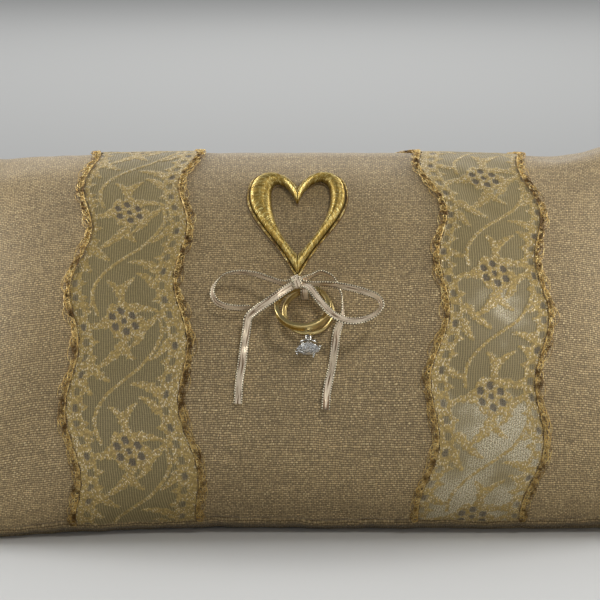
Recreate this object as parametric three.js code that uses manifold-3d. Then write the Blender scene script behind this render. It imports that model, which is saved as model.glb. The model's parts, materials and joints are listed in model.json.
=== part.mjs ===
// Ring bearer pillow: a lumbar cushion that stands on its long edge and leans back,
// with two lace bands, a padded satin-stitch heart, and a ribbon bow that carries two rings.
// Millimetres, +Z up. The front looks along -Y. The origin is the middle of the flat foot.
import * as THREE from 'three';
import { mergeVertices } from 'three/addons/utils/BufferGeometryUtils.js';
import Module from 'manifold-3d';

const wasm = await Module();
wasm.setup();

// ---- driving dimensions -------------------------------------------------------------
const FIT_GAP = 0.3;             // between pieces that touch

// cushion: flat cut size, then the stuffed shape
const FLAT_WIDTH = 320;
const FLAT_HEIGHT = 200;
const MID_CHORD = 155;           // seam to seam at the middle
const UPPER_EAR = 19.5;          // how far an upper ear stands past the middle of its edge
const LOWER_EAR = 4.5;           // the same on the lower ears, which the floor presses in
const DEPTH = 90;                // thickness at the middle
const MID_LENGTH = 292;          // end seam to end seam at mid height
const CORNER_LENGTH = 312;       // ear to ear
const LEAN_DEG = 38;             // lean back from upright
const SEAT_SHARE = 0.4245;       // cushion centre above what it stands on, as a share of the chord
const SEAT_HEIGHT = MID_CHORD * SEAT_SHARE;
const SEAT_BACK = 17;            // cushion centre behind the middle of the foot
const SETTLE = 0.55;             // how far the stuffing has settled at the back
const TOE_OUT = 15;              // how far the left end's foot stands forward
const EAR_START = 0.55;          // share of the half length where an ear begins
const EAR_START_SOFT = 0.74;     // the same on the two flatter ears
const SPREAD = 0.8;              // how far cloth pushed up by the floor moves sideways
const SPREAD_OVER = 25;          // how far from the middle of the foot it moves fully
const TOE_FROM = 38;             // how far left the foot starts to come forward
const TOE_OVER = 90;             // and over how long
const TOE_TOP = 110;             // height above which it does not
const TOE_POWER = 1.5;
const EAR_POWER = 1.2;
const END_POWER = 3.2;           // how square the two ends are
const END_ROUND = 0.55;

// layers, each counted inwards from the cover's face
const COVER_THICK = 0.6;
const SEAM_THREAD_R = 0.25;
const SEAM_THREAD_IN = 1.45;
const OPENING_LENGTH = 90;       // turning gap in the bottom seam, closed by hand
const INSERT_IN = 2.2;
const INSERT_THICK = 0.4;
const FILL_IN = 3.1;

// lace bands
const LACE_WIDTH = 38.6;
const LACE_THICK = 0.5;
const LACE_GAP = 0.45;
const LACE_SEAM_IN = 1.2;        // stops short of the seam
const LACE_PERIOD = 49;
const LACE_WAVE = 2.2;
const LEFT_LACE_AT = -55;
const LEFT_LACE_BOW = -10.5;
const LEFT_LACE_PHASE = 22;
const RIGHT_LACE_AT = 54;
const RIGHT_LACE_BOW = 13;
const RIGHT_LACE_PHASE = 33;
const EDGING_R = 0.6;

// emblem: an open heart, thick on the left and thin on the right
const HEART_U = -3.5;
const HEART_V = 25.5;
const HEART_WIDTH = 34;
const HEART_HEIGHT = 52;
const STROKE_LEFT = 7.4;
const STROKE_RIGHT = 5.0;
const STROKE_TIP = 6.0;
const BACKING_THICK = 0.5;
const BACKING_RIM = 1.5;
const BACKING_IN = 0.4;          // how far the backing shows inside the stroke
const SATIN_THICK = 0.7;
const SATIN_RISE = 2.4;
const ARCH_POWER = 0.7;          // how flat the top of the stroke is
const PADDING_THICK = 0.5;
const PADDING_LOWER = 0.9;       // how much lower the padding's arch is than the satin's
const PADDING_IN = 0.15;         // share of the stroke left free at each side
const OUTLINE_R = 0.42;
const CORD_MITRE = 2;            // how far out the outline cord's two corners stand, in its offsets
const CORD_FROM = 0.035;
const CORD_TO = 0.985;

// ribbon and bow
const RIBBON_WIDTH = 3.2;
const RIBBON_THICK = 0.3;
const KNOT_U = -3.6;
const KNOT_V = -8.6;
const KNOT_SIZE = [7.2, 6.2, 4.2];
const HANGER_U = -0.8;
const HANGER_SPAN = 6.2;         // clear length along the face
const TACK_SIZE = [2.2, 0.8, 0.5];

// rings
const HINGE_V = -8.2;
const RING_CLEAR = 0.8;          // between the two rings, so that each can swing past the other
const BAND_U = -1.6;
const BAND_INNER_R = 8.5;
const BAND_WALL = 1.7;
const BAND_WIDTH = 3.2;
const CHANNEL_STONES = 7;
const CHANNEL_STONE = 1.5;
const CHANNEL_STONE_DEEP = 0.85;
const CHANNEL_START_DEG = -79;
const CHANNEL_PITCH_DEG = 10.4;
const SHANK_U = 0.4;
const SHANK_INNER_R = 7.7;
const SHANK_WIRE_R = 0.95;
const STONE_R = 4.1;
const STONE_CROWN = 1.3;
const STONE_PAVILION = 3.5;
const HEAD_COLLAR_R = 1.25;
const HEAD_COLLAR_TALL = 1.5;
const PRONG_R = 0.42;
const PRONG_TURN_DEG = 25;
const BAND_TILT_DEG = 12;        // the rings hang nearer to upright than the face leans
const SHANK_TILT_DEG = 2.5;
const BAND_SOFTEN = 0.35;        // the rounding of the band's corners
const STONE_SUNK = 0.1;          // how far the channel stones lie below the band's face
const PRONG_FOOT = 0.7;          // where the prongs grow from, as a share of the collar's radius
const PRONG_LOW = 0.4;           // and of its height
const GIRDLE_THICK = 0.15;
const TABLE_SHARE = 0.58;        // the stone's table, as a share of its width

// ---- finishes -----------------------------------------------------------------------
const finish = (color, roughness, metalness) => () =>
  new THREE.MeshStandardMaterial({ color, roughness, metalness });
const linen = finish(0x86724f, 0.8, 0.15);
const muslin = finish(0xd9d2c0, 0.9, 0);
const fibre = finish(0xf2f0ea, 1, 0);
const thread = finish(0x6d5a3c, 0.7, 0);
const lace = finish(0x8d8359, 0.6, 0.3);
const gimp = finish(0x7f5f2c, 0.45, 0.6);
const felt = finish(0x3d3323, 0.95, 0);
const satin = finish(0xb18b35, 0.35, 0.75);
const ribbon = finish(0xa58a68, 0.4, 0.25);
const gold = finish(0xd0a64c, 0.2, 1);
const whiteGold = finish(0xd9d8d2, 0.2, 1);
const gem = finish(0xeef4f6, 0.02, 0);

const object = new THREE.Group();

function addPiece(name, geometry, material, group = object) {
  const mesh = new THREE.Mesh(geometry, material());
  mesh.name = name;
  group.add(mesh);
  return mesh;
}

// ---- mesh building ------------------------------------------------------------------
function closedGeometry(points, triangles) {
  const positions = new Float32Array(points.flatMap((p) => [p.x, p.y, p.z]));
  const origin = points[0];
  let volume = 0;
  for (const [a, b, c] of triangles) {
    const pa = points[a].clone().sub(origin);
    const pb = points[b].clone().sub(origin);
    const pc = points[c].clone().sub(origin);
    volume += pa.dot(pb.cross(pc));
  }
  const order = volume < 0 ? ([a, b, c]) => [a, c, b] : (t) => t;
  const geometry = new THREE.BufferGeometry();
  geometry.setAttribute('position', new THREE.BufferAttribute(positions, 3));
  geometry.setIndex(triangles.flatMap(order));
  geometry.computeVertexNormals();
  return geometry;
}

function grid(rows, columns, at) {
  return Array.from({ length: rows + 1 }, (_, i) =>
    Array.from({ length: columns + 1 }, (__, j) => at(i / rows, j / columns)));
}

// A solid between two equal grids of points, closed all round; loop joins its last row to its first.
function slab(top, bottom, loop = false) {
  const rows = top.length;
  const columns = top[0].length;
  const points = [...top.flat(), ...bottom.flat()];
  const under = rows * columns;
  const at = (i, j) => (i % rows) * columns + j;
  const triangles = [];
  const quad = (a, b, c, d) => triangles.push([a, b, c], [a, c, d]);
  const last = loop ? rows : rows - 1;
  for (let i = 0; i < last; i += 1) {
    for (let j = 0; j < columns - 1; j += 1) {
      quad(at(i, j), at(i + 1, j), at(i + 1, j + 1), at(i, j + 1));
      quad(under + at(i, j), under + at(i, j + 1), under + at(i + 1, j + 1), under + at(i + 1, j));
    }
    const end = columns - 1;
    quad(at(i, 0), under + at(i, 0), under + at(i + 1, 0), at(i + 1, 0));
    quad(at(i, end), at(i + 1, end), under + at(i + 1, end), under + at(i, end));
  }
  for (let j = 0; j < columns - 1 && !loop; j += 1) {
    const end = rows - 1;
    quad(at(0, j), at(0, j + 1), under + at(0, j + 1), under + at(0, j));
    quad(at(end, j), under + at(end, j), under + at(end, j + 1), at(end, j + 1));
  }
  return closedGeometry(points, triangles);
}

// A section carried along a path. Each stop has a place, a side direction and an up direction.
function sweep(stops, section, loop = false) {
  const count = section.length;
  const points = [];
  for (const { place, side, up } of stops) {
    for (const [a, b] of section) {
      points.push(place.clone().addScaledVector(side, a).addScaledVector(up, b));
    }
  }
  const triangles = [];
  const last = loop ? stops.length : stops.length - 1;
  for (let i = 0; i < last; i += 1) {
    const here = i * count;
    const next = ((i + 1) % stops.length) * count;
    for (let k = 0; k < count; k += 1) {
      const m = (k + 1) % count;
      triangles.push([here + k, next + k, next + m], [here + k, next + m, here + m]);
    }
  }
  const end = (stops.length - 1) * count;
  for (let k = 1; k < count - 1 && !loop; k += 1) {
    triangles.push([0, k, k + 1], [end, end + k + 1, end + k]);
  }
  return closedGeometry(points, triangles);
}

function polygon(radius, sides) {
  return Array.from({ length: sides }, (_, k) => {
    const angle = ((k + 0.5) * 2 * Math.PI) / sides;
    return [radius * Math.cos(angle), radius * Math.sin(angle)];
  });
}

function rectangle(width, height) {
  const a = width / 2;
  const b = height / 2;
  return [[-a, -b], [a, -b], [a, b], [-a, b]];
}

// Turns a list of places and rough up directions into sweep stops.
function stopsAlong(places, ups, loop = false) {
  const count = places.length;
  return places.map((place, i) => {
    const before = places[loop ? (i + count - 1) % count : Math.max(i - 1, 0)];
    const after = places[loop ? (i + 1) % count : Math.min(i + 1, count - 1)];
    const along = after.clone().sub(before).normalize();
    const up = ups[i].clone().addScaledVector(along, -ups[i].dot(along)).normalize();
    return { place, side: along.clone().cross(up), up };
  });
}

function toManifold(geometry) {
  const bare = new THREE.BufferGeometry();
  bare.setAttribute('position', geometry.getAttribute('position'));
  if (geometry.index) bare.setIndex(geometry.index);
  const merged = mergeVertices(bare, 1e-4);
  return new wasm.Manifold(new wasm.Mesh({
    numProp: 3,
    vertProperties: new Float32Array(merged.getAttribute('position').array),
    triVerts: new Uint32Array(merged.index.array),
  }));
}

function fromManifold(solid) {
  const mesh = solid.getMesh();
  const geometry = new THREE.BufferGeometry();
  geometry.setAttribute('position', new THREE.BufferAttribute(mesh.vertProperties, 3));
  geometry.setIndex(new THREE.BufferAttribute(mesh.triVerts, 1));
  geometry.computeVertexNormals();
  return geometry;
}

// ---- the stuffed cushion's surface --------------------------------------------------
const LEAN = THREE.MathUtils.degToRad(LEAN_DEG);
const ROUND_STEPS = 400;

function fullness(share) {
  return Math.max(1 - Math.abs(share) ** END_POWER, 0) ** END_ROUND;
}

function smooth(value) {
  const x = THREE.MathUtils.clamp(value, 0, 1);
  return x * x * (3 - 2 * x);
}

// Lengths along a curve at even steps, used to lay flat cloth round the stuffed shape.
function lengthTable(at) {
  const table = [0];
  for (let i = 1; i <= ROUND_STEPS; i += 1) {
    const [x0, y0] = at((i - 1) / ROUND_STEPS);
    const [x1, y1] = at(i / ROUND_STEPS);
    table.push(table[i - 1] + Math.hypot(x1 - x0, y1 - y0));
  }
  return table;
}

function shareAt(table, fraction) {
  const length = fraction * table[ROUND_STEPS];
  let i = table.findIndex((value) => value >= length);
  i = i < 0 ? ROUND_STEPS : Math.max(i, 1);
  const within = (length - table[i - 1]) / (table[i] - table[i - 1]);
  return (i - 1 + THREE.MathUtils.clamp(within, 0, 1)) / ROUND_STEPS;
}

const upTable = lengthTable((s) => {
  const angle = (s - 0.5) * Math.PI;
  return [(MID_CHORD / 2) * Math.sin(angle), (DEPTH / 2) * Math.cos(angle)];
});
const acrossTable = lengthTable((s) => {
  const share = Math.sin((s * Math.PI) / 2);
  return [(MID_LENGTH / 2) * share, (DEPTH / 2) * fullness(share)];
});

// u runs across from the middle, v up from the middle, both on the flat cloth.
// side is 1 on the front and -1 on the back, inset goes inwards, and parting opens the seam.
function cushionPoint(u, v, side = 1, inset = 0, parting = 0) {
  const angle = (shareAt(upTable, v / FLAT_HEIGHT + 0.5) - 0.5) * Math.PI;
  const acrossShare = shareAt(acrossTable, Math.min(Math.abs(u) / (FLAT_WIDTH / 2), 1));
  const share = Math.sign(u) * Math.sin((acrossShare * Math.PI) / 2);
  const soft = (share < 0) === (angle > 0);
  const start = soft ? EAR_START_SOFT : EAR_START;
  const ear = smooth((Math.abs(share) - start) / (1 - start)) ** EAR_POWER;
  const chord = MID_CHORD / 2 + (angle > 0 ? UPPER_EAR : LOWER_EAR) * ear - inset;
  const deep = (DEPTH / 2 - inset) * fullness(share) * Math.cos(angle);
  const flare = ((CORNER_LENGTH - MID_LENGTH) / 2) * Math.abs(Math.sin(angle)) ** 3;
  const x = (MID_LENGTH / 2 + flare - inset) * share;
  const up = chord * Math.sin(angle);
  const out = side > 0 ? deep : -deep * (1 - SETTLE * Math.sin(angle));
  const face = out + (side * parting) / 2;
  let y = SEAT_BACK + up * Math.sin(LEAN) - face * Math.cos(LEAN);
  let z = SEAT_HEIGHT + up * Math.cos(LEAN) + face * Math.sin(LEAN);
  const low = THREE.MathUtils.clamp(1 - z / TOE_TOP, 0, 1) ** TOE_POWER;
  y -= TOE_OUT * smooth((-x - TOE_FROM) / TOE_OVER) * low;
  const push = side > 0 ? 0 : Math.max(inset - z, 0);
  y += push * SPREAD * THREE.MathUtils.clamp(y / SPREAD_OVER, -1, 1);
  z += push;
  return new THREE.Vector3(x, y, z);
}

// A right-handed frame on the front: across, up the cloth, and out of it.
function faceFrame(u, v) {
  const step = 0.5;
  const place = cushionPoint(u, v);
  const across = cushionPoint(u + step, v).sub(cushionPoint(u - step, v)).normalize();
  const upward = cushionPoint(u, v + step).sub(cushionPoint(u, v - step)).normalize();
  const out = across.clone().cross(upward).normalize();
  return { place, across, upward, out };
}

function onFace(u, v, lift) {
  const { place, out } = faceFrame(u, v);
  return place.addScaledVector(out, lift);
}

// ---- cover, insert and stuffing -----------------------------------------------------
const CLOTH_ROWS = 18;
const CLOTH_COLUMNS = 16;
const CLOTH_CROWD = 1.15;
const halfWidth = FLAT_WIDTH / 2;
const halfHeight = FLAT_HEIGHT / 2;

// Steps from -1 to 1, closer together towards the seams, where the cloth turns most.
function crowd(s) {
  return Math.sin((2 * s - 1) * CLOTH_CROWD) / Math.sin(CLOTH_CROWD);
}

function cushionGrid(side, inset) {
  const at = (s, t) => cushionPoint(
    crowd(s) * halfWidth, crowd(t) * halfHeight, side, inset, FIT_GAP);
  return grid(CLOTH_ROWS, CLOTH_COLUMNS, at);
}

function panel(side, inset, thick) {
  const outer = cushionGrid(side, inset);
  const inner = cushionGrid(side, inset + thick);
  return slab(outer, inner);
}

function buildCover() {
  addPiece('cover_front', panel(1, 0, COVER_THICK), linen);
  addPiece('cover_back', panel(-1, 0, COVER_THICK), linen);
  addPiece('insert_front', panel(1, INSERT_IN, INSERT_THICK), muslin);
  addPiece('insert_back', panel(-1, INSERT_IN, INSERT_THICK), muslin);
  const front = cushionGrid(1, FILL_IN);
  const back = cushionGrid(-1, FILL_IN);
  addPiece('fiberfill', slab(front, back), fibre);
}

// Places along the bottom seam between two shares of the half width.
function bottomPlaces(from, to) {
  const inner = Array.from({ length: CLOTH_ROWS + 1 }, (_, i) => crowd(i / CLOTH_ROWS))
    .filter((share) => share > Math.min(from, to) && share < Math.max(from, to));
  const ordered = from < to ? inner : inner.reverse();
  return [from, ...ordered, to].map((share) => [share * halfWidth, -halfHeight]);
}

function seamTube(places) {
  const points = places.map(([u, v]) => cushionPoint(u, v, 1, SEAM_THREAD_IN));
  const seamNormal = new THREE.Vector3(0, -Math.cos(LEAN), Math.sin(LEAN));
  return sweep(stopsAlong(points, points.map(() => seamNormal)), polygon(SEAM_THREAD_R, 4));
}

function buildSeam() {
  const gap = OPENING_LENGTH / 2 / halfWidth;
  const clear = gap + 1 / halfWidth;
  const edge = (count, at) => Array.from({ length: count - 1 }, (_, i) => at(crowd((i + 1) / count)));
  const round = [
    ...bottomPlaces(clear, 1),
    ...edge(CLOTH_COLUMNS, (s) => [halfWidth, s * halfHeight]), [halfWidth, halfHeight],
    ...edge(CLOTH_ROWS, (s) => [-s * halfWidth, halfHeight]), [-halfWidth, halfHeight],
    ...edge(CLOTH_COLUMNS, (s) => [-halfWidth, -s * halfHeight]),
    ...bottomPlaces(-1, -clear),
  ];
  addPiece('seam_thread', seamTube(round), thread);
  addPiece('closing_thread', seamTube(bottomPlaces(-gap, gap)), thread);
}

// ---- lace bands ---------------------------------------------------------------------
function laceCentre(at, bow, phase, v) {
  const middle = at + bow * (1 - (v / halfHeight) ** 2);
  return middle + LACE_WAVE * Math.cos((2 * Math.PI * (v - phase)) / LACE_PERIOD);
}

const LACE_STEPS = 32;

function buildLaceBand(side, at, bow, phase) {
  const reach = halfHeight - LACE_SEAM_IN;
  const height = (t) => (2 * t - 1) * reach;
  const place = (lift) => (t, s) => {
    const v = height(t);
    const u = laceCentre(at, bow, phase, v) + (s - 0.5) * LACE_WIDTH;
    return onFace(u, v, lift);
  };
  const bottom = grid(LACE_STEPS, 5, place(LACE_GAP));
  const top = grid(LACE_STEPS, 5, place(LACE_GAP + LACE_THICK));
  addPiece(`lace_${side}`, slab(top, bottom), lace);
  const offset = LACE_WIDTH / 2 + FIT_GAP + EDGING_R;
  for (const [edge, sign] of [['left', -1], ['right', 1]]) {
    const places = grid(LACE_STEPS, 0, (t) => {
      const v = height(t);
      return onFace(laceCentre(at, bow, phase, v) + sign * offset, v, LACE_GAP + EDGING_R);
    }).map(([point]) => point);
    const ups = grid(LACE_STEPS, 0, (t) => {
      const v = height(t);
      return faceFrame(laceCentre(at, bow, phase, v) + sign * offset, v).out;
    }).map(([out]) => out);
    addPiece(`lace_${side}_edging_${edge}`, sweep(stopsAlong(places, ups), polygon(EDGING_R, 4)), gimp);
  }
}

// ---- emblem -------------------------------------------------------------------------
// Half a heart's outline, from the dip at the top round to the tip, in shares of its size.
function heartHalf(stroke) {
  const w = HEART_WIDTH / 2;
  const h = HEART_HEIGHT / 2;
  const tip = stroke ? STROKE_TIP : 0;
  const dip = 0.55 * h - tip * 1.1;
  const path = new THREE.CurvePath();
  path.add(new THREE.CubicBezierCurve(
    new THREE.Vector2(0, dip),
    new THREE.Vector2(0.22 * w, h - stroke * 0.9 + 0.06 * h),
    new THREE.Vector2(w - stroke, h - stroke * 0.9 + 0.16 * h),
    new THREE.Vector2(w - stroke, 0.42 * h)));
  path.add(new THREE.CubicBezierCurve(
    new THREE.Vector2(w - stroke, 0.42 * h),
    new THREE.Vector2(w - stroke, -0.05 * h),
    new THREE.Vector2(0.34 * w, -0.45 * h),
    new THREE.Vector2(0, -h + tip * 1.35)));
  return path;
}

const heartOuter = heartHalf(0);
const heartInner = { 1: heartHalf(STROKE_RIGHT), '-1': heartHalf(STROKE_LEFT) };
const HEART_STEPS = 22;

// Across the stroke: k is 0 at the inner edge and 1 at the outer, spare is a length past the edge.
function heartPoint(side, s, k, spare, lift) {
  const outer = heartOuter.getPointAt(s);
  const inner = heartInner[side].getPointAt(s);
  const outward = outer.clone().sub(inner).normalize();
  const flat = inner.lerp(outer, k).addScaledVector(outward, spare);
  const nudge = FIT_GAP / 2;
  return onFace(HEART_U + side * (flat.x + nudge), HEART_V + flat.y, lift);
}

function buildEmblem() {
  const base = FIT_GAP + BACKING_THICK;
  const trail = [];
  for (let i = 0; i <= HEART_STEPS; i += 1) trail.push([1, i / HEART_STEPS]);
  for (let i = HEART_STEPS; i >= 0; i -= 1) trail.push([-1, i / HEART_STEPS]);
  const backing = (lift) => trail.map(([side, s]) => [
    heartPoint(side, s, 0, -BACKING_IN, lift), heartPoint(side, s, 1, BACKING_RIM, lift)]);
  addPiece('emblem_backing', slab(backing(base), backing(FIT_GAP), true), felt);

  const seat = base + FIT_GAP;
  const arch = (k) => Math.sin(Math.PI * k) ** ARCH_POWER;
  for (const [name, side] of [['left', -1], ['right', 1]]) {
    const cover = (rise, more) => grid(HEART_STEPS, 6, (s, k) =>
      heartPoint(side, s, k, 0, seat + more + rise * arch(k)));
    addPiece(`emblem_satin_${name}`, slab(cover(SATIN_RISE, SATIN_THICK), cover(SATIN_RISE, 0)), satin);
    const span = 1 - 2 * PADDING_IN;
    const core = (rise, more) => grid(HEART_STEPS, 4, (s, k) =>
      heartPoint(side, s, PADDING_IN + k * span, 0, seat + more + rise * arch(k)));
    const padding = slab(core(SATIN_RISE - PADDING_LOWER, PADDING_THICK), core(0, 0));
    addPiece(`emblem_padding_${name}`, padding, felt);
  }
  addPiece('emblem_outline_cord', outlineCord(seat), gimp);
}

// A cord laid round the outside of the satin, mitred at the dip and at the tip.
function outlineCord(seat) {
  const away = FIT_GAP + OUTLINE_R;
  const route = [];
  const half = (side, from, to) => {
    for (let i = 0; i <= HEART_STEPS; i += 1) {
      const s = from + ((to - from) * i) / HEART_STEPS;
      const flat = heartOuter.getPointAt(s);
      const along = heartOuter.getTangentAt(s);
      route.push([side * (flat.x + FIT_GAP / 2 - along.y * away), flat.y + along.x * away]);
    }
  };
  const dip = heartOuter.getPointAt(0).y;
  const tip = heartOuter.getPointAt(1).y;
  route.push([0, dip + CORD_MITRE * away]);
  half(1, CORD_FROM, CORD_TO);
  route.push([0, tip - CORD_MITRE * away]);
  half(-1, CORD_TO, CORD_FROM);
  const places = route.map(([x, y]) => onFace(HEART_U + x, HEART_V + y, seat + OUTLINE_R));
  const ups = route.map(([x, y]) => faceFrame(HEART_U + x, HEART_V + y).out);
  return sweep(stopsAlong(places, ups, true), polygon(OUTLINE_R, 4), true);
}

// ---- bow ----------------------------------------------------------------------------
// A ribbon's route: across, up the cloth, height above it, and turn in degrees.
// Turn 0 lies flat on the cloth and 90 stands on its edge.
const LOOP_LEFT = [
  [-8.0, -8.6, 9.2, 80], [-13.0, -6.6, 8.4, 85], [-18.5, -4.2, 7.6, 88], [-24.5, -3.0, 6.8, 90],
  [-29.5, -3.8, 6.2, 85], [-32.6, -6.6, 5.6, 80], [-33.6, -10.4, 5.0, 75], [-32.0, -13.6, 4.6, 75],
  [-28.5, -15.4, 4.4, 80], [-24.0, -15.8, 4.2, 85], [-20.0, -15.6, 4.0, 85],
];
const LOOP_RIGHT = [
  [0.5, -11.2, 11.8, 25], [4.5, -16.6, 12.2, 30], [9.0, -21.6, 12.6, 40], [14.0, -23.8, 12.6, 70],
  [19.5, -23.4, 12.2, 85], [24.0, -21.0, 11.6, 90], [26.2, -17.6, 10.8, 90], [24.8, -14.4, 10.2, 90],
  [20.5, -12.4, 10.2, 90], [14.5, -10.6, 10.0, 90], [8.0, -9.4, 9.8, 90], [1.0, -8.9, 9.4, 90],
];
const TAIL_LEFT_ROOT = [
  [-7.4, -11.6, 10.6, 14], [-11.0, -14.2, 10.4, 6], [-15.0, -16.6, 9.2, 4], [-18.4, -18.2, 7.0, 6],
];
const TAIL_LEFT = [
  [-20.8, -20.0, 4.6, 0], [-21.2, -22.6, 3.2, 0], [-22.0, -28.6, 1.9, 0], [-22.8, -35.8, 1.5, 4],
  [-23.6, -43.0, 1.5, 0], [-24.0, -51.0, 1.9, -6],
];
const TAIL_RIGHT_ROOT = [
  [1.2, -5.6, 8.4, 90], [4.5, -3.6, 7.6, 90], [8.4, -4.6, 6.8, 90], [10.8, -7.6, 6.0, 90],
  [12.2, -12.0, 5.4, 90], [12.6, -17.4, 5.0, 75],
];
const TAIL_RIGHT = [
  [12.0, -20.8, 4.4, 40], [10.6, -24.4, 3.4, 15], [9.6, -31.6, 2.0, 0], [8.6, -38.6, 1.6, -4],
  [7.0, -46.0, 1.5, 0], [6.4, -53.0, 1.9, 6],
];

function ribbonStops(route, steps) {
  const frames = route.map(([u, v]) => faceFrame(u, v));
  const points = route.map(([, , lift], i) => frames[i].place.clone().addScaledVector(frames[i].out, lift));
  const curve = new THREE.CatmullRomCurve3(points, false, 'centripetal');
  return Array.from({ length: steps + 1 }, (_, k) => {
    const t = (k / steps) * (route.length - 1);
    const i = Math.min(Math.floor(t), route.length - 2);
    const out = frames[i].out.clone().lerp(frames[i + 1].out, t - i).normalize();
    const turn = THREE.MathUtils.degToRad(THREE.MathUtils.lerp(route[i][3], route[i + 1][3], t - i));
    const along = curve.getTangent(k / steps);
    const flatSide = along.clone().cross(out).normalize();
    const lifted = flatSide.clone().cross(along).normalize();
    const side = flatSide.clone().multiplyScalar(Math.cos(turn)).addScaledVector(lifted, Math.sin(turn));
    return { place: curve.getPoint(k / steps), side, up: side.clone().cross(along).normalize() };
  });
}

function ribbonPiece(name, route, group) {
  const steps = (route.length - 1) * 3;
  addPiece(name, sweep(ribbonStops(route, steps), rectangle(RIBBON_WIDTH, RIBBON_THICK)), ribbon, group);
}

// A padded block with rounded edges, shaped from a ball and set on a face frame.
function pebble(frame, lift, size) {
  const ball = new THREE.SphereGeometry(1, 12, 8);
  const squarer = (value) => Math.sign(value) * Math.abs(value) ** 0.7;
  const position = ball.getAttribute('position');
  for (let i = 0; i < position.count; i += 1) {
    const [a, b, c] = [position.getX(i), position.getY(i), position.getZ(i)].map(squarer);
    const point = frame.place.clone()
      .addScaledVector(frame.across, (a * size[0]) / 2)
      .addScaledVector(frame.upward, (b * size[1]) / 2)
      .addScaledVector(frame.out, lift + (c * size[2]) / 2);
    position.setXYZ(i, point.x, point.y, point.z);
  }
  return fromManifold(toManifold(ball));
}

const hangerBase = FIT_GAP;
const shankLift = hangerBase + RIBBON_THICK + FIT_GAP + SHANK_WIRE_R;
const bandLift = shankLift + SHANK_WIRE_R + RING_CLEAR + BAND_WIDTH / 2;
const bandCorner = (BAND_WALL / 2) * Math.sin(THREE.MathUtils.degToRad(BAND_TILT_DEG));
const hangerTop = bandLift + BAND_WIDTH / 2 + bandCorner + FIT_GAP;
const knotLift = hangerTop + RIBBON_THICK + FIT_GAP + KNOT_SIZE[2] / 2;

function hangerPlaces(frame, inner) {
  const low = hangerBase + (inner ? RIBBON_THICK : 0);
  const high = hangerTop + (inner ? 0 : RIBBON_THICK);
  const reach = HANGER_SPAN / 2 + (inner ? 0 : RIBBON_THICK);
  const corner = 0.8;
  const outline = [
    [-reach + corner, low], [reach - corner, low], [reach, low + corner], [reach, high - corner],
    [reach - corner, high], [-reach + corner, high], [-reach, high - corner], [-reach, low + corner]];
  return outline.map(([along, lift]) => frame.place.clone()
    .addScaledVector(frame.upward, along).addScaledVector(frame.out, lift));
}

function buildBow(leftTail, rightTail) {
  ribbonPiece('bow_loop_left', LOOP_LEFT);
  ribbonPiece('bow_loop_right', LOOP_RIGHT);
  ribbonPiece('ribbon_tail_left_root', TAIL_LEFT_ROOT);
  ribbonPiece('ribbon_tail_right_root', TAIL_RIGHT_ROOT);
  ribbonPiece('ribbon_tail_left', TAIL_LEFT, leftTail);
  ribbonPiece('ribbon_tail_right', TAIL_RIGHT, rightTail);
  addPiece('bow_knot', pebble(faceFrame(KNOT_U, KNOT_V), knotLift, KNOT_SIZE), ribbon);

  const frame = faceFrame(HANGER_U, HINGE_V);
  const shifted = (inner) => hangerPlaces(frame, inner).map((place) => [-1, 1].map((sign) =>
    place.clone().addScaledVector(frame.across, (sign * RIBBON_WIDTH) / 2)));
  addPiece('ring_hanger', slab(shifted(false), shifted(true), true), ribbon);

  const tackFrame = faceFrame(HANGER_U, HINGE_V + HANGER_SPAN / 2 - 1);
  const tackLift = hangerBase + RIBBON_THICK + FIT_GAP + TACK_SIZE[2] / 2;
  addPiece('tack_stitch', pebble(tackFrame, tackLift, TACK_SIZE), thread);
}

// ---- rings --------------------------------------------------------------------------
// A group whose x runs across the face, y up it and z out of it, at a ring's hanging point.
function ringGroup(u, lift, tiltDeg) {
  const frame = faceFrame(u, HINGE_V);
  const tilt = THREE.MathUtils.degToRad(tiltDeg);
  const out = frame.out.clone().applyAxisAngle(frame.across, -tilt);
  const group = new THREE.Group();
  const upward = out.clone().cross(frame.across).normalize();
  group.quaternion.setFromRotationMatrix(new THREE.Matrix4().makeBasis(frame.across, upward, out));
  group.position.copy(frame.place).addScaledVector(frame.out, lift);
  object.add(group);
  return group;
}

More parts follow.
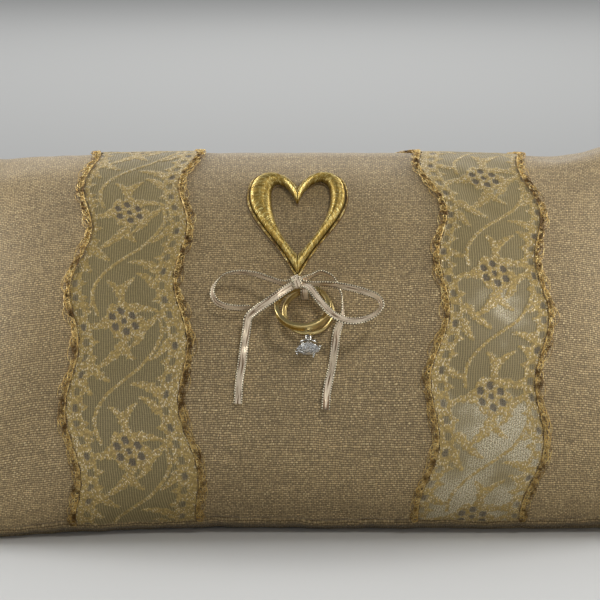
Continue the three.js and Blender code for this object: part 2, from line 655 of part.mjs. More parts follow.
function buildWeddingBand() {
  const middle = BAND_INNER_R + BAND_WALL / 2;
  const group = ringGroup(BAND_U, bandLift, BAND_TILT_DEG);
  const outerR = BAND_INNER_R + BAND_WALL;
  const half = BAND_WIDTH / 2;
  const soften = BAND_SOFTEN;
  const profile = [
    [BAND_INNER_R, -half + soften], [BAND_INNER_R + soften, -half], [outerR - soften, -half],
    [outerR, -half + soften], [outerR, half - soften], [outerR - soften, half],
    [BAND_INNER_R + soften, half], [BAND_INNER_R, half - soften], [BAND_INNER_R, -half + soften],
  ].map(([x, y]) => new THREE.Vector2(x, y));
  const blank = new THREE.LatheGeometry(profile, 48).rotateX(Math.PI / 2);
  let band = toManifold(blank);
  const stoneTop = outerR - STONE_SUNK;
  const pocketDeep = CHANNEL_STONE_DEEP + FIT_GAP;
  const pocketTop = 1;
  for (let i = 0; i < CHANNEL_STONES; i += 1) {
    const angle = THREE.MathUtils.degToRad(CHANNEL_START_DEG + i * CHANNEL_PITCH_DEG);
    const wide = CHANNEL_STONE + 2 * FIT_GAP;
    const pocket = new THREE.BoxGeometry(pocketDeep + pocketTop, wide, wide);
    pocket.translate(stoneTop + (pocketTop - pocketDeep) / 2, 0, 0).rotateZ(angle);
    band = band.subtract(toManifold(pocket));
  }
  const shank = fromManifold(band);
  shank.translate(0, -middle, 0);
  addPiece('wedding_band', shank, gold, group);
  for (let i = 0; i < CHANNEL_STONES; i += 1) {
    const angle = THREE.MathUtils.degToRad(CHANNEL_START_DEG + i * CHANNEL_PITCH_DEG);
    const table = (CHANNEL_STONE / 2) * Math.SQRT2;
    const stone = new THREE.CylinderGeometry(table * 0.8, table, CHANNEL_STONE_DEEP, 4, 1);
    stone.rotateY(Math.PI / 4).rotateZ(-Math.PI / 2);
    stone.translate(stoneTop - CHANNEL_STONE_DEEP / 2, 0, 0).rotateZ(angle).translate(0, -middle, 0);
    addPiece(`channel_stone_${i + 1}`, stone, gem, group);
  }
}

function rod(from, to, radiusFrom, radiusTo) {
  const length = from.distanceTo(to);
  const geometry = new THREE.CylinderGeometry(radiusTo, radiusFrom, length, 8, 1);
  const turn = new THREE.Quaternion().setFromUnitVectors(
    new THREE.Vector3(0, 1, 0), to.clone().sub(from).normalize());
  geometry.applyQuaternion(turn);
  const middle = from.clone().add(to).multiplyScalar(0.5);
  return geometry.translate(middle.x, middle.y, middle.z);
}

function buildEngagementRing() {
  const middle = SHANK_INNER_R + SHANK_WIRE_R;
  const group = ringGroup(SHANK_U, shankLift, SHANK_TILT_DEG);
  const shank = new THREE.TorusGeometry(middle, SHANK_WIRE_R, 8, 44).translate(0, -middle, 0);
  addPiece('engagement_shank', fromManifold(toManifold(shank)), gold, group);

  // The head points away from the ring's centre, which is down the face.
  const seat = 2 * middle + SHANK_WIRE_R + FIT_GAP;
  const down = (distance, x = 0, z = 0) => new THREE.Vector3(x, -distance, z);
  const culet = seat + HEAD_COLLAR_TALL + FIT_GAP;
  const girdle = culet + STONE_PAVILION;
  let head = toManifold(rod(down(seat), down(seat + HEAD_COLLAR_TALL), HEAD_COLLAR_R, HEAD_COLLAR_R));
  const gripR = STONE_R + FIT_GAP + PRONG_R;
  for (let i = 0; i < 4; i += 1) {
    const angle = THREE.MathUtils.degToRad(PRONG_TURN_DEG) + (i * Math.PI) / 2;
    const reach = (radius, distance) =>
      down(distance, radius * Math.cos(angle), radius * Math.sin(angle));
    const foot = reach(HEAD_COLLAR_R * PRONG_FOOT, seat + HEAD_COLLAR_TALL * PRONG_LOW);
    const grip = reach(gripR, girdle);
    const tip = reach(gripR, girdle + STONE_CROWN * 0.7);
    head = head.add(toManifold(rod(foot, grip, PRONG_R, PRONG_R)));
    head = head.add(toManifold(rod(grip, tip, PRONG_R, PRONG_R * 0.7)));
    const knuckle = new THREE.SphereGeometry(PRONG_R, 8, 6).translate(grip.x, grip.y, grip.z);
    head = head.add(toManifold(knuckle));
  }
  addPiece('engagement_head', fromManifold(head), whiteGold, group);

  const profile = [[0, 0], [STONE_R, STONE_PAVILION], [STONE_R, STONE_PAVILION + GIRDLE_THICK],
    [STONE_R * TABLE_SHARE, STONE_PAVILION + STONE_CROWN], [0, STONE_PAVILION + STONE_CROWN]];
  const cut = new THREE.LatheGeometry(profile.map(([x, y]) => new THREE.Vector2(x, y)), 16);
  const stone = fromManifold(toManifold(cut)).rotateX(Math.PI).translate(0, -culet, 0);
  addPiece('engagement_stone', stone, gem, group);
}

// ---- assembly -----------------------------------------------------------------------
buildCover();
buildSeam();
buildLaceBand('left', LEFT_LACE_AT, LEFT_LACE_BOW, LEFT_LACE_PHASE);
buildLaceBand('right', RIGHT_LACE_AT, RIGHT_LACE_BOW, RIGHT_LACE_PHASE);
buildEmblem();
const leftTail = new THREE.Group();
const rightTail = new THREE.Group();
object.add(leftTail, rightTail);
buildBow(leftTail, rightTail);
buildWeddingBand();
buildEngagementRing();

export default object;
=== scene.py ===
"""Ring bearer pillow: a stuffed lumbar cushion with lace bands, a satin-stitched heart and a ring bow.

The cushion's surface is one function of places on its flat cloth, so the lace, the edging, the emblem
and the ribbons all lie on the same shape. Everything is in metres, with the front looking along -Y.
"""
import json
import logging
import math
from contextlib import contextmanager
from dataclasses import dataclass, field
from enum import Enum
from functools import cached_property
from typing import Callable, Iterator, Sequence

import bpy
import numpy as np
from mathutils import Matrix, Vector


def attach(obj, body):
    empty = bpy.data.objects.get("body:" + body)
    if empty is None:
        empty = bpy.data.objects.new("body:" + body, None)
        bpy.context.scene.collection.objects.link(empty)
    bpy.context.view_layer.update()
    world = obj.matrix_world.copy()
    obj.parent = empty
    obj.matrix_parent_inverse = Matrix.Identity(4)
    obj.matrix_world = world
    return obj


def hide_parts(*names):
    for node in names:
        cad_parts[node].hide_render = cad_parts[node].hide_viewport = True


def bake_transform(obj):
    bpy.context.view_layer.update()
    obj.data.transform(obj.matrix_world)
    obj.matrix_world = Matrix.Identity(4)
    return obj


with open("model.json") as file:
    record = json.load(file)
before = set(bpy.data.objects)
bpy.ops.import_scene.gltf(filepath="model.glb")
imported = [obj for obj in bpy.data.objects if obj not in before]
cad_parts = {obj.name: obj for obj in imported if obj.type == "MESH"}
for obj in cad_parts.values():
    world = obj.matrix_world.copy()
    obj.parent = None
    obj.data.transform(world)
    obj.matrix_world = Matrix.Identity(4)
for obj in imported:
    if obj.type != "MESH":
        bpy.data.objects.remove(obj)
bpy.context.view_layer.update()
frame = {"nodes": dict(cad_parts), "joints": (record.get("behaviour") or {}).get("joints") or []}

Array = np.ndarray
Object = bpy.types.Object
Node = bpy.types.Node
Socket = bpy.types.NodeSocket
Tree = bpy.types.NodeTree
MM = 0.001
log = logging.getLogger("ring_pillow")


class Side(Enum):
    """The two cloth panels."""

    FRONT = 1
    BACK = -1


class Hand(Enum):
    """Left and right, as seen from the front."""

    LEFT = -1
    RIGHT = 1


# ---- small mathematics ----


def smooth(value: Array) -> Array:
    """Eases a value from 0 to 1, flat at both ends."""
    x = np.clip(value, 0, 1)
    return x * x * (3 - 2 * x)


def unit(vectors: Array) -> Array:
    """Returns the vectors at length one."""
    return vectors / np.maximum(np.linalg.norm(vectors, axis=-1, keepdims=True), 1e-12)


def spline_sample(grid: Array, x: Array, y: Array) -> Array:
    """Reads a grid between its points with a smooth cubic spline.

    Args:
        grid: values at rows and columns, with any number of channels.
        x: places along the columns, in cells.
        y: places along the rows, in cells.

    Returns:
        The values at those places.
    """
    def weights(t: Array) -> list[Array]:
        """The four cubic spline weights at a fraction of a cell."""
        return [(1 - t) ** 3 / 6, (3 * t**3 - 6 * t**2 + 4) / 6,
                (-3 * t**3 + 3 * t**2 + 3 * t + 1) / 6, t**3 / 6]

    rows, columns = grid.shape[:2]
    i = np.clip(np.floor(x).astype(int), 0, columns - 2)
    j = np.clip(np.floor(y).astype(int), 0, rows - 2)
    across, upward = weights(x - i), weights(y - j)
    total = np.zeros(x.shape + grid.shape[2:])
    for a, wa in enumerate(across):
        for b, wb in enumerate(upward):
            at = grid[np.clip(j + b - 1, 0, rows - 1), np.clip(i + a - 1, 0, columns - 1)]
            total += (wa * wb)[..., None] * at
    return total


def centripetal(points: Array, steps: int) -> Array:
    """A smooth curve through points, the way ribbon lies.

    Args:
        points: the places that the curve passes.
        steps: steps between each two of them.

    Returns:
        The curve's points, ends included.
    """
    ends = [2 * points[0] - points[1], *points, 2 * points[-1] - points[-2]]
    found = []
    for k in range(len(points) - 1):
        p0, p1, p2, p3 = ends[k:k + 4]
        d0, d1, d2 = (max(np.linalg.norm(b - a), 1e-9) ** 0.5 for a, b in ((p0, p1), (p1, p2), (p2, p3)))
        t1 = ((p1 - p0) / d0 - (p2 - p0) / (d0 + d1) + (p2 - p1) / d1) * d1
        t2 = ((p2 - p1) / d1 - (p3 - p1) / (d1 + d2) + (p3 - p2) / d2) * d1
        for t in np.arange(steps) / steps:
            found.append((2 * t**3 - 3 * t**2 + 1) * p1 + (t**3 - 2 * t**2 + t) * t1
                         + (3 * t**2 - 2 * t**3) * p2 + (t**3 - t**2) * t2)
    return np.array([*found, points[-1]])


def blurred(grid: Array, width: float) -> Array:
    """A grid of values, softened over a width in cells.

    Args:
        grid: rows and columns of values.
        width: the width.

    Returns:
        The softened grid.
    """
    reach = int(3 * width)
    kernel = np.exp(-0.5 * (np.arange(-reach, reach + 1) / width) ** 2)
    kernel /= kernel.sum()
    for axis in (0, 1):
        pad = [(reach, reach) if axis == k else (0, 0) for k in (0, 1)]
        grid = np.apply_along_axis(np.convolve, axis, np.pad(grid, pad, "edge"), kernel, "valid")
    return grid


def to_polyline(points: Array, line: Array) -> tuple[Array, Array]:
    """Distance from each point to a line of short straight runs, and how far along it is.

    Args:
        points: places, two numbers each.
        line: the line's corners.

    Returns:
        The distances, and the shares of the line's length, from 0 to 1.
    """
    best = np.full(points.shape[:-1], 1e9)
    along = np.zeros(points.shape[:-1])
    runs = len(line) - 1
    for k in range(runs):
        start, run = line[k], line[k + 1] - line[k]
        t = np.clip(((points - start) @ run) / max(run @ run, 1e-12), 0, 1)
        gap = np.linalg.norm(points - start - t[..., None] * run, axis=-1)
        near = gap < best
        best = np.where(near, gap, best)
        along = np.where(near, (k + t) / runs, along)
    return best, along


# ---- the cushion's shape ----


@dataclass(frozen=True)
class CushionShape:
    """The stuffed cushion's outer face, as a function of places on its flat cloth."""

    flat_width: float = 320 * MM
    flat_height: float = 200 * MM
    mid_chord: float = 155 * MM
    upper_ear: float = 19.5 * MM
    lower_ear: float = 4.5 * MM
    depth: float = 90 * MM
    mid_length: float = 292 * MM
    corner_length: float = 312 * MM
    lean: float = math.radians(38)
    seat_share: float = 0.4245
    seat_back: float = 17 * MM
    settle: float = 0.55
    toe_out: float = 15 * MM
    toe_from: float = 38 * MM
    toe_over: float = 90 * MM
    toe_top: float = 110 * MM
    ear_start: float = 0.55
    ear_start_soft: float = 0.74
    ear_power: float = 1.2
    end_power: float = 3.2
    end_round: float = 0.55
    spread: float = 0.8
    spread_over: float = 25 * MM
    steps: int = 400

    def fullness(self, share: Array) -> Array:
        """How thick the cushion is towards its ends, from 1 at the middle to 0."""
        return np.maximum(1 - np.abs(share) ** self.end_power, 0) ** self.end_round

    def _lengths(self, a: Array, b: Array) -> Array:
        """Length along a curve at even steps, as shares of the whole.

        Args:
            a: the curve's first coordinate.
            b: its second.

        Returns:
            The shares, from 0 to 1.
        """
        runs = np.hypot(np.diff(a), np.diff(b))
        total = np.concatenate([[0], np.cumsum(runs)])
        return total / total[-1]

    @cached_property
    def _tables(self) -> tuple[Array, Array, Array]:
        """The even steps, and the lengths up the face and across it at each.

        Returns:
            The steps, and the two tables of shares.
        """
        s = np.linspace(0, 1, self.steps + 1)
        angle = (s - 0.5) * math.pi
        upward = self._lengths(self.mid_chord / 2 * np.sin(angle), self.depth / 2 * np.cos(angle))
        share = np.sin(s * math.pi / 2)
        across = self._lengths(self.mid_length / 2 * share, self.depth / 2 * self.fullness(share))
        return s, upward, across

    def point(self, u: Array, v: Array, side: Side = Side.FRONT, inset: float = 0.0) -> Array:
        """Places on the stuffed cushion.

        Args:
            u: across from the middle of the flat cloth.
            v: up from the middle of the flat cloth.
            side: the panel.
            inset: how far inwards from the cover's face.

        Returns:
            Points, three numbers each.
        """
        u, v = np.broadcast_arrays(np.asarray(u, float), np.asarray(v, float))
        s, upward, across = self._tables
        angle = (np.interp(v / self.flat_height + 0.5, upward, s) - 0.5) * math.pi
        reach = np.interp(np.abs(u) / (self.flat_width / 2), across, s)
        share = np.sign(u) * np.sin(reach * math.pi / 2)
        start = np.where((share < 0) == (angle > 0), self.ear_start_soft, self.ear_start)
        ear = smooth((np.abs(share) - start) / (1 - start)) ** self.ear_power
        chord = self.mid_chord / 2 + np.where(angle > 0, self.upper_ear, self.lower_ear) * ear - inset
        deep = (self.depth / 2 - inset) * self.fullness(share) * np.cos(angle)
        flare = (self.corner_length - self.mid_length) / 2 * np.abs(np.sin(angle)) ** 3
        x = (self.mid_length / 2 + flare - inset) * share
        up = chord * np.sin(angle)
        out = deep if side is Side.FRONT else -deep * (1 - self.settle * np.sin(angle))
        y = self.seat_back + up * math.sin(self.lean) - out * math.cos(self.lean)
        z = self.mid_chord * self.seat_share + up * math.cos(self.lean) + out * math.sin(self.lean)
        low = np.clip(1 - z / self.toe_top, 0, 1) ** 1.5
        y = y - self.toe_out * smooth((-x - self.toe_from) / self.toe_over) * low
        if side is Side.BACK:
            push = np.maximum(inset - z, 0)
            y = y + push * self.spread * np.clip(y / self.spread_over, -1, 1)
            z = z + push
        return np.stack([x, y, z], axis=-1)


@dataclass
class Surface:
    """The cushion's shape with what the stuffing and the seams do to the cloth."""

    shape: CushionShape = field(default_factory=CushionShape)
    relief: dict[Side, Array] = field(default_factory=dict)
    step: float = 0.5 * MM

    def point(self, u: Array, v: Array, side: Side = Side.FRONT, inset: float = 0.0) -> Array:
        """Places on the cloth as it lies; the arguments are those of the plain shape.

        Args:
            u: across the flat cloth.
            v: up the flat cloth.
            side: the panel.
            inset: how far inwards from the cover's face.

        Returns:
            Points, three numbers each.
        """
        place = self.shape.point(u, v, side, inset)
        if side in self.relief:
            grid = self.relief[side]
            u, v = np.broadcast_arrays(np.asarray(u, float), np.asarray(v, float))
            x = (u / self.shape.flat_width + 0.5) * (grid.shape[1] - 1)
            y = (v / self.shape.flat_height + 0.5) * (grid.shape[0] - 1)
            place = place + spline_sample(grid, x, y)
            place[..., 2] = np.maximum(place[..., 2], 0)
        return place

    def frame(self, u: Array, v: Array) -> tuple[Array, Array, Array, Array]:
        """Places on the front, with the directions across, up the cloth, and out of it.

        Args:
            u: across the flat cloth.
            v: up the flat cloth.

        Returns:
            The places and the three directions at each.
        """
        place = self.point(u, v)
        across = unit(self.point(u + self.step, v) - self.point(u - self.step, v))
        upward = unit(self.point(u, v + self.step) - self.point(u, v - self.step))
        return place, across, upward, unit(np.cross(across, upward))

    def lifted(self, u: Array, v: Array, lift: Array) -> Array:
        """Places at a height above the front."""
        place, _, _, out = self.frame(u, v)
        return place + out * np.asarray(lift)[..., None]


# ---- mesh building ----


@dataclass
class Batch:
    """Collects strips, tubes and grids for one mesh."""

    points: list[Array] = field(default_factory=list)
    faces: list[Array] = field(default_factory=list)
    uvs: list[Array] = field(default_factory=list)
    count: int = 0

    def grid(self, points: Array, uv: Array, wrap: bool = False) -> None:
        """Adds a grid of quads.

        Args:
            points: rows and columns of places.
            uv: two numbers at each place.
            wrap: joins the last row to the first.
        """
        rows, columns = points.shape[:2]
        ids = np.arange(rows * columns).reshape(rows, columns) + self.count
        if wrap:
            ids = np.vstack([ids, ids[:1]])
            uv = np.concatenate([uv, 2 * uv[-1:] - uv[-2:-1]])
        quads = np.stack([ids[:-1, :-1], ids[:-1, 1:], ids[1:, 1:], ids[1:, :-1]], axis=-1)
        corner = np.stack([uv[:-1, :-1], uv[:-1, 1:], uv[1:, 1:], uv[1:, :-1]], axis=-2)
        self.points.append(points.reshape(-1, 3))
        self.faces.append(quads.reshape(-1, 4))
        self.uvs.append(corner.reshape(-1, 2))
        self.count += rows * columns

    def sweep(self, path: Array, sides: Array, ups: Array, section: Array, closed: bool = False,
              number: int = 0) -> None:
        """Carries a closed section along a path, with closed ends.

        Args:
            path: the places along the way.
            sides: the section's first direction at each place.
            ups: the section's second direction at each place.
            section: the section's corners, as two lengths each, for all places or for each.
            closed: joins the end to the start.
            number: a whole number added to the UV map's second value, to tell threads apart.
        """
        section = np.broadcast_to(section, (len(path), *np.shape(section)[-2:]))
        ring = path[:, None] + sides[:, None] * section[..., :1] + ups[:, None] * section[..., 1:]
        ring = np.concatenate([ring, ring[:, :1]], axis=1)
        run = np.concatenate([[0], np.cumsum(np.linalg.norm(np.diff(path, axis=0), axis=1))])
        wide = np.concatenate([section[..., 0], section[:, :1, 0]], axis=1)
        uv = np.stack([np.broadcast_to(run[:, None], wide.shape), wide + number], axis=-1)
        first = self.count
        corners = ring.shape[1]
        self.grid(ring, uv, closed)
        if not closed:
            last = first + (len(path) - 1) * corners
            for start, step in ((first, 1), (last, -1)):
                self._cap(start, corners - 1, step)

    def _cap(self, start: int, corners: int, step: int) -> None:
        """Closes an end of a tube with quads across its section.

        Args:
            start: the first corner's number.
            corners: how many corners the section has.
            step: 1, or -1 to turn the face over.
        """
        ids = list(range(start, start + corners))[::step]
        half = corners // 2
        quads = [[ids[k], ids[k + 1], ids[corners - 2 - k], ids[corners - 1 - k]] for k in range(half - 1)]
        self.faces.append(np.array(quads))
        self.uvs.append(np.zeros((len(quads) * 4, 2)))

    def build(self, name: str, layer: str = "Cloth", weld: float = 1e-7) -> Object:
        """Makes the object.

        Args:
            name: its name.
            layer: the name of its UV map.
            weld: how close two points are joined.

        Returns:
            The object, at the origin.
        """
        mesh = bpy.data.meshes.new(name)
        faces = np.concatenate(self.faces)
        mesh.from_pydata(np.concatenate(self.points).tolist(), [], faces.tolist())
        mesh.uv_layers.new(name=layer).data.foreach_set("uv", np.concatenate(self.uvs).ravel())
        obj = shown(name, mesh)
        with editing(obj):
            close_up(weld)
        smooth_shade(obj)
        return obj


def round_section(radius: float, sides: int) -> Array:
    """A round section's corners."""
    angle = (np.arange(sides) + 0.5) * 2 * math.pi / sides
    return np.stack([radius * np.cos(angle), radius * np.sin(angle)], axis=-1)


def path_frames(path: Array, guide: Array, closed: bool = False) -> tuple[Array, Array]:
    """Side and up directions along a path, with up as near to the guide as it can be.

    Args:
        path: the places along the way.
        guide: the wished up direction at each place.
        closed: joins the end to the start.

    Returns:
        The side directions and the up directions.
    """
    if closed:
        along = np.roll(path, -1, axis=0) - np.roll(path, 1, axis=0)
    else:
        along = np.gradient(path, axis=0)
    along = unit(along)
    up = unit(guide - along * np.sum(guide * along, axis=-1, keepdims=True))
    return np.cross(along, up), up


# ---- modelling helpers ----


@contextmanager
def editing(obj: Object) -> Iterator[None]:
    """Edit mode on one object, with nothing else selected.

    Args:
        obj: the object.
    """
    pick(obj)
    bpy.ops.object.mode_set(mode="EDIT")
    yield
    bpy.ops.object.mode_set(mode="OBJECT")


def close_up(threshold: float = 1e-6) -> None:
    """In edit mode, merges doubled points and turns every face outwards.

    Args:
        threshold: how close two points are merged.
    """
    bpy.ops.mesh.select_all(action="SELECT")
    bpy.ops.mesh.remove_doubles(threshold=threshold)
    bpy.ops.mesh.normals_make_consistent(inside=False)


def shown(name: str, data: object) -> Object:
    """Makes an object and puts it in the scene.

    Args:
        name: its name.
        data: its mesh, light or camera.

    Returns:
        The object.
    """
    obj = bpy.data.objects.new(name, data)
    bpy.context.scene.collection.objects.link(obj)
    return obj


def pick(*objects: Object) -> None:
    """Selects these objects alone; the first is active."""
    bpy.ops.object.select_all(action="DESELECT")
    for obj in objects:
        obj.select_set(True)
    bpy.context.view_layer.objects.active = objects[0]


def added(name: str) -> Object:
    """Names the primitive that was just added, and returns it.

    Args:
        name: the name for the object and its mesh.

    Returns:
        The object.
    """
    obj = bpy.context.object
    obj.name = obj.data.name = name
    return obj


def smooth_shade(obj: Object, angle: float = math.pi) -> None:
    """Shades smoothly, with edges sharper than the angle left sharp.

    Args:
        obj: the object.
        angle: the angle.
    """
    pick(obj)
    if angle >= math.pi:
        bpy.ops.object.shade_smooth()
    else:
        bpy.ops.object.shade_smooth_by_angle(angle=angle)


def modify(obj: Object, kind: str, **settings: object) -> None:
    """Adds a modifier with these settings and applies it.

    Args:
        obj: the object.
        kind: the modifier's type.
        settings: the modifier's settings.
    """
    pick(obj)
    modifier = obj.modifiers.new(kind.lower(), kind)
    for key, value in settings.items():
        setattr(modifier, key, value)
    bpy.ops.object.modifier_apply(modifier=modifier.name)


def join(name: str, *objects: Object) -> Object:
    """Joins objects into the first of them.

    Args:
        name: the name of what comes out.
        objects: the objects.

    Returns:
        The joined object.
    """
    pick(*objects)
    bpy.ops.object.join()
    return added(name)


def settle(obj: Object, matrix: Matrix) -> Object:
    """Carries a mesh to its place, with its object left at the origin.

    Args:
        obj: the object.
        matrix: where its mesh goes.

    Returns:
        The object.
    """
    pick(obj)
    bpy.ops.object.transform_apply(location=True, rotation=True, scale=True)
    obj.data.transform(matrix)
    return obj


def dress(obj: Object, finish: "Finish") -> None:
    """Puts a finish on every face of an object.

    Args:
        obj: the object.
        finish: its finish.
    """
    obj.data.materials.clear()
    obj.data.materials.append(finish.material)


def complete(obj: Object, finish: "Finish", body: str, *nodes: str) -> None:
    """Dresses an object, which rides on a body and takes the place of these nodes.

    Args:
        obj: the object.
        finish: its finish.
        body: the body that it rides on.
        nodes: the nodes that it stands for.
    """
    dress(obj, finish)
    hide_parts(*nodes)
    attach(obj, body)
    log.info("%s: %d faces", obj.name, len(obj.data.polygons))


# ---- shader groups ----


class Wiring:
    """Adds and joins nodes in one node tree."""

    def __init__(self, tree: Tree) -> None:
        """Keeps the tree."""
        self.tree = tree

    def node(self, kind: str, inputs: dict | None = None, **settings: object) -> Node:
        """Adds a node.

        Args:
            kind: the node's type, without its ShaderNode prefix.
            inputs: sockets by name or number, each a value or another node's socket.
            settings: the node's own settings.

        Returns:
            The node.
        """
        made = self.tree.nodes.new("ShaderNode" + kind)
        for key, value in settings.items():
            setattr(made, key, value)
        for key, value in (inputs or {}).items():
            if isinstance(value, Socket):
                self.tree.links.new(value, made.inputs[key])
            else:
                made.inputs[key].default_value = value
        return made

    def sum(self, operation: str, *values: object) -> Socket:
        """The result of one step of arithmetic."""
        return self.node("Math", dict(enumerate(values)), operation=operation).outputs[0]

    def times(self, a: object, b: object) -> Socket:
        """One value times another."""
        return self.sum("MULTIPLY", a, b)

    def scaled(self, a: object, b: object, c: object) -> Socket:
        """One value times another, and a third added."""
        return self.sum("MULTIPLY_ADD", a, b, c)

    def ridges(self, place: object, factor: float = math.pi) -> Socket:
        """Rounded ridges, one for each whole step of a place times the factor over pi."""
        return self.sum("ABSOLUTE", self.sum("SINE", self.times(place, factor)))

    def parts(self, vector: object) -> tuple[Socket, Socket]:
        """The first two numbers of a vector."""
        outputs = self.node("SeparateXYZ", {0: vector}).outputs
        return outputs[0], outputs[1]

    def feed(self, name: str, value: object) -> None:
        """Gives the material's shader a value, or joins a socket to it.

        Args:
            name: the shader's input.
            value: the value or the socket.
        """
        target = self.tree.nodes["Principled BSDF"].inputs[name]
        if isinstance(value, Socket):
            self.tree.links.new(value, target)
        else:
            target.default_value = value

    def ramp(self, value: object, low: float, high: float, a: float = 0.0, b: float = 1.0) -> Socket:
        """Eases a value between two limits into the range a to b."""
        inputs = {"Value": value, "From Min": low, "From Max": high, "To Min": a, "To Max": b}
        return self.node("MapRange", inputs, interpolation_type="SMOOTHSTEP").outputs[0]

    def blend(self, share: object, a: object, b: object, kind: str = "MIX") -> Socket:
        """Mixes two colours."""
        made = self.node("Mix", {0: share, 6: a, 7: b}, data_type="RGBA", blend_type=kind)
        return made.outputs[2]

    def stretch(self, vector: object, x: float, y: float, z: float = 1.0) -> Socket:
        """Scales a vector."""
        return self.node("Mapping", {"Vector": vector, "Scale": (x, y, z)}).outputs[0]

    def noise(self, vector: object, scale: float, detail: float = 2.0, rough: float = 0.5) -> Socket:
        """Soft noise, as one value."""
        inputs = {"Vector": vector, "Scale": scale, "Detail": detail, "Roughness": rough}
        return self.node("TexNoise", inputs).outputs["Fac"]

    def speck(self, x: object, y: object, z: object = 0.0) -> Socket:
        """One random value for each whole-numbered place."""
        place = self.node("CombineXYZ", {0: x, 1: y, 2: z}).outputs[0]
        return self.node("TexWhiteNoise", {"Vector": place}, noise_dimensions="3D").outputs["Value"]

    def bump(self, height: object, strength: float, distance: float) -> Socket:
        """A normal from a height."""
        inputs = {"Height": height, "Strength": strength, "Distance": distance}
        return self.node("Bump", inputs).outputs[0]


def shader_group(name: str, inputs: dict[str, str], outputs: dict[str, str],
                 fill: Callable[[Wiring, Node, Node], None]) -> Tree:
    """Builds a node group once and returns it.

    Args:
        name: the group's name.
        inputs: its input sockets, name to Float, Vector or Color.
        outputs: its output sockets, in the same way.
        fill: wires the inside, given the wiring, the input node and the output node.

    Returns:
        The group's node tree.
    """
    if name in bpy.data.node_groups:
        return bpy.data.node_groups[name]
    tree = bpy.data.node_groups.new(name, "ShaderNodeTree")
    for in_out, sockets in (("INPUT", inputs), ("OUTPUT", outputs)):
        for socket, kind in sockets.items():
            tree.interface.new_socket(socket, in_out=in_out, socket_type="NodeSocket" + kind)
    fill(Wiring(tree), tree.nodes.new("NodeGroupInput"), tree.nodes.new("NodeGroupOutput"))
    return tree


def fill_weave(w: Wiring, given: Node, out: Node) -> None:
    """Plain weave: each warp thread passes over one weft thread and under the next.

    Args:
        w: the group's wiring.
        given: its input node, with the place and the pitch.
        out: its output node.
    """
    u, v = w.parts(given.outputs["Cloth"])
    wander = w.ramp(w.noise(given.outputs["Cloth"], 120, 2), 0.3, 0.7, -0.35, 0.35)
    close = w.times(given.outputs["Pitch"], 0.92)
    x = w.sum("ADD", w.sum("DIVIDE", u, close), wander)
    y = w.sum("ADD", w.sum("DIVIDE", v, given.outputs["Pitch"]), wander)
    warp, weft = w.sum("FLOOR", x), w.sum("FLOOR", y)
    across_warp = w.sum("SINE", w.times(w.sum("FRACT", x), math.pi))
    across_weft = w.sum("SINE", w.times(w.sum("FRACT", y), math.pi))
    parity = w.scaled(w.sum("PINGPONG", w.sum("ADD", warp, weft), 1.0), 2.0, -1.0)
    over = w.scaled(w.times(parity, across_weft), 0.2, 0.5)
    under = w.scaled(w.times(parity, across_warp), -0.14, 0.84)
    nipped = w.times(under, w.scaled(across_warp, 0.38, 0.62))
    warp_height = w.times(w.sum("POWER", across_warp, 0.8), over)
    weft_height = w.times(w.sum("POWER", across_weft, 0.8), nipped)
    height = w.sum("MAXIMUM", warp_height, weft_height)
    on_top = w.sum("GREATER_THAN", warp_height, weft_height)
    places = w.node("CombineXYZ", {0: x, 1: y}).outputs[0]
    warp_slub = w.noise(w.stretch(places, 1.0, 0.05), 1.0, 2)
    weft_slub = w.noise(w.stretch(places, 0.05, 1.0), 1.0, 2)
    slub = w.node("Mix", {0: on_top, 2: weft_slub, 3: warp_slub}, data_type="FLOAT").outputs[0]
    w.tree.links.new(height, out.inputs["Height"])
    w.tree.links.new(on_top, out.inputs["Warp"])
    w.tree.links.new(slub, out.inputs["Slub"])
    w.tree.links.new(w.speck(w.sum("FLOOR", w.times(x, 2.0)), weft), out.inputs["Speck"])


def fill_yarn(w: Wiring, given: Node, out: Node) -> None:
    """Twisted yarn: plies that wind round a thread, with a few bright turns of metal.

    Args:
        w: the group's wiring.
        given: its input node, with the place along the thread.
        out: its output node.
    """
    turns, slant = (w.sum("DIVIDE", part, given.outputs["Lay"]) for part in w.parts(given.outputs["Thread"]))
    phase = w.sum("ADD", turns, slant)
    height = w.ridges(phase)
    spark = w.speck(w.sum("FLOOR", phase), w.sum("FLOOR", w.times(slant, 2.0)))
    w.tree.links.new(height, out.inputs["Height"])
    w.tree.links.new(spark, out.inputs["Speck"])


def weave_group() -> Tree:
    """The plain weave, shared by the cover, the insert and the lace's ground."""
    return shader_group("plain_weave", {"Cloth": "Vector", "Pitch": "Float"},
                        {"Height": "Float", "Warp": "Float", "Slub": "Float", "Speck": "Float"}, fill_weave)


def yarn_group() -> Tree:
    """The twisted yarn, shared by the edging, the satin stitches and the sewing thread."""
    return shader_group("twisted_yarn", {"Thread": "Vector", "Lay": "Float"},
                        {"Height": "Float", "Speck": "Float"}, fill_yarn)


# ---- finishes ----

Color = tuple[float, float, float, float]


def colour(red: float, green: float, blue: float) -> Color:
    """A linear colour from the 0 to 255 values that a swatch book gives.

    Args:
        red: red, from 0 to 255.
        green: green.
        blue: blue.

    Returns:
        The linear colour with full alpha.
    """
    def line(value: float) -> float:
        """One channel, made linear."""
        share = value / 255
        return share / 12.92 if share <= 0.04045 else ((share + 0.055) / 1.055) ** 2.4

    return line(red), line(green), line(blue), 1.0


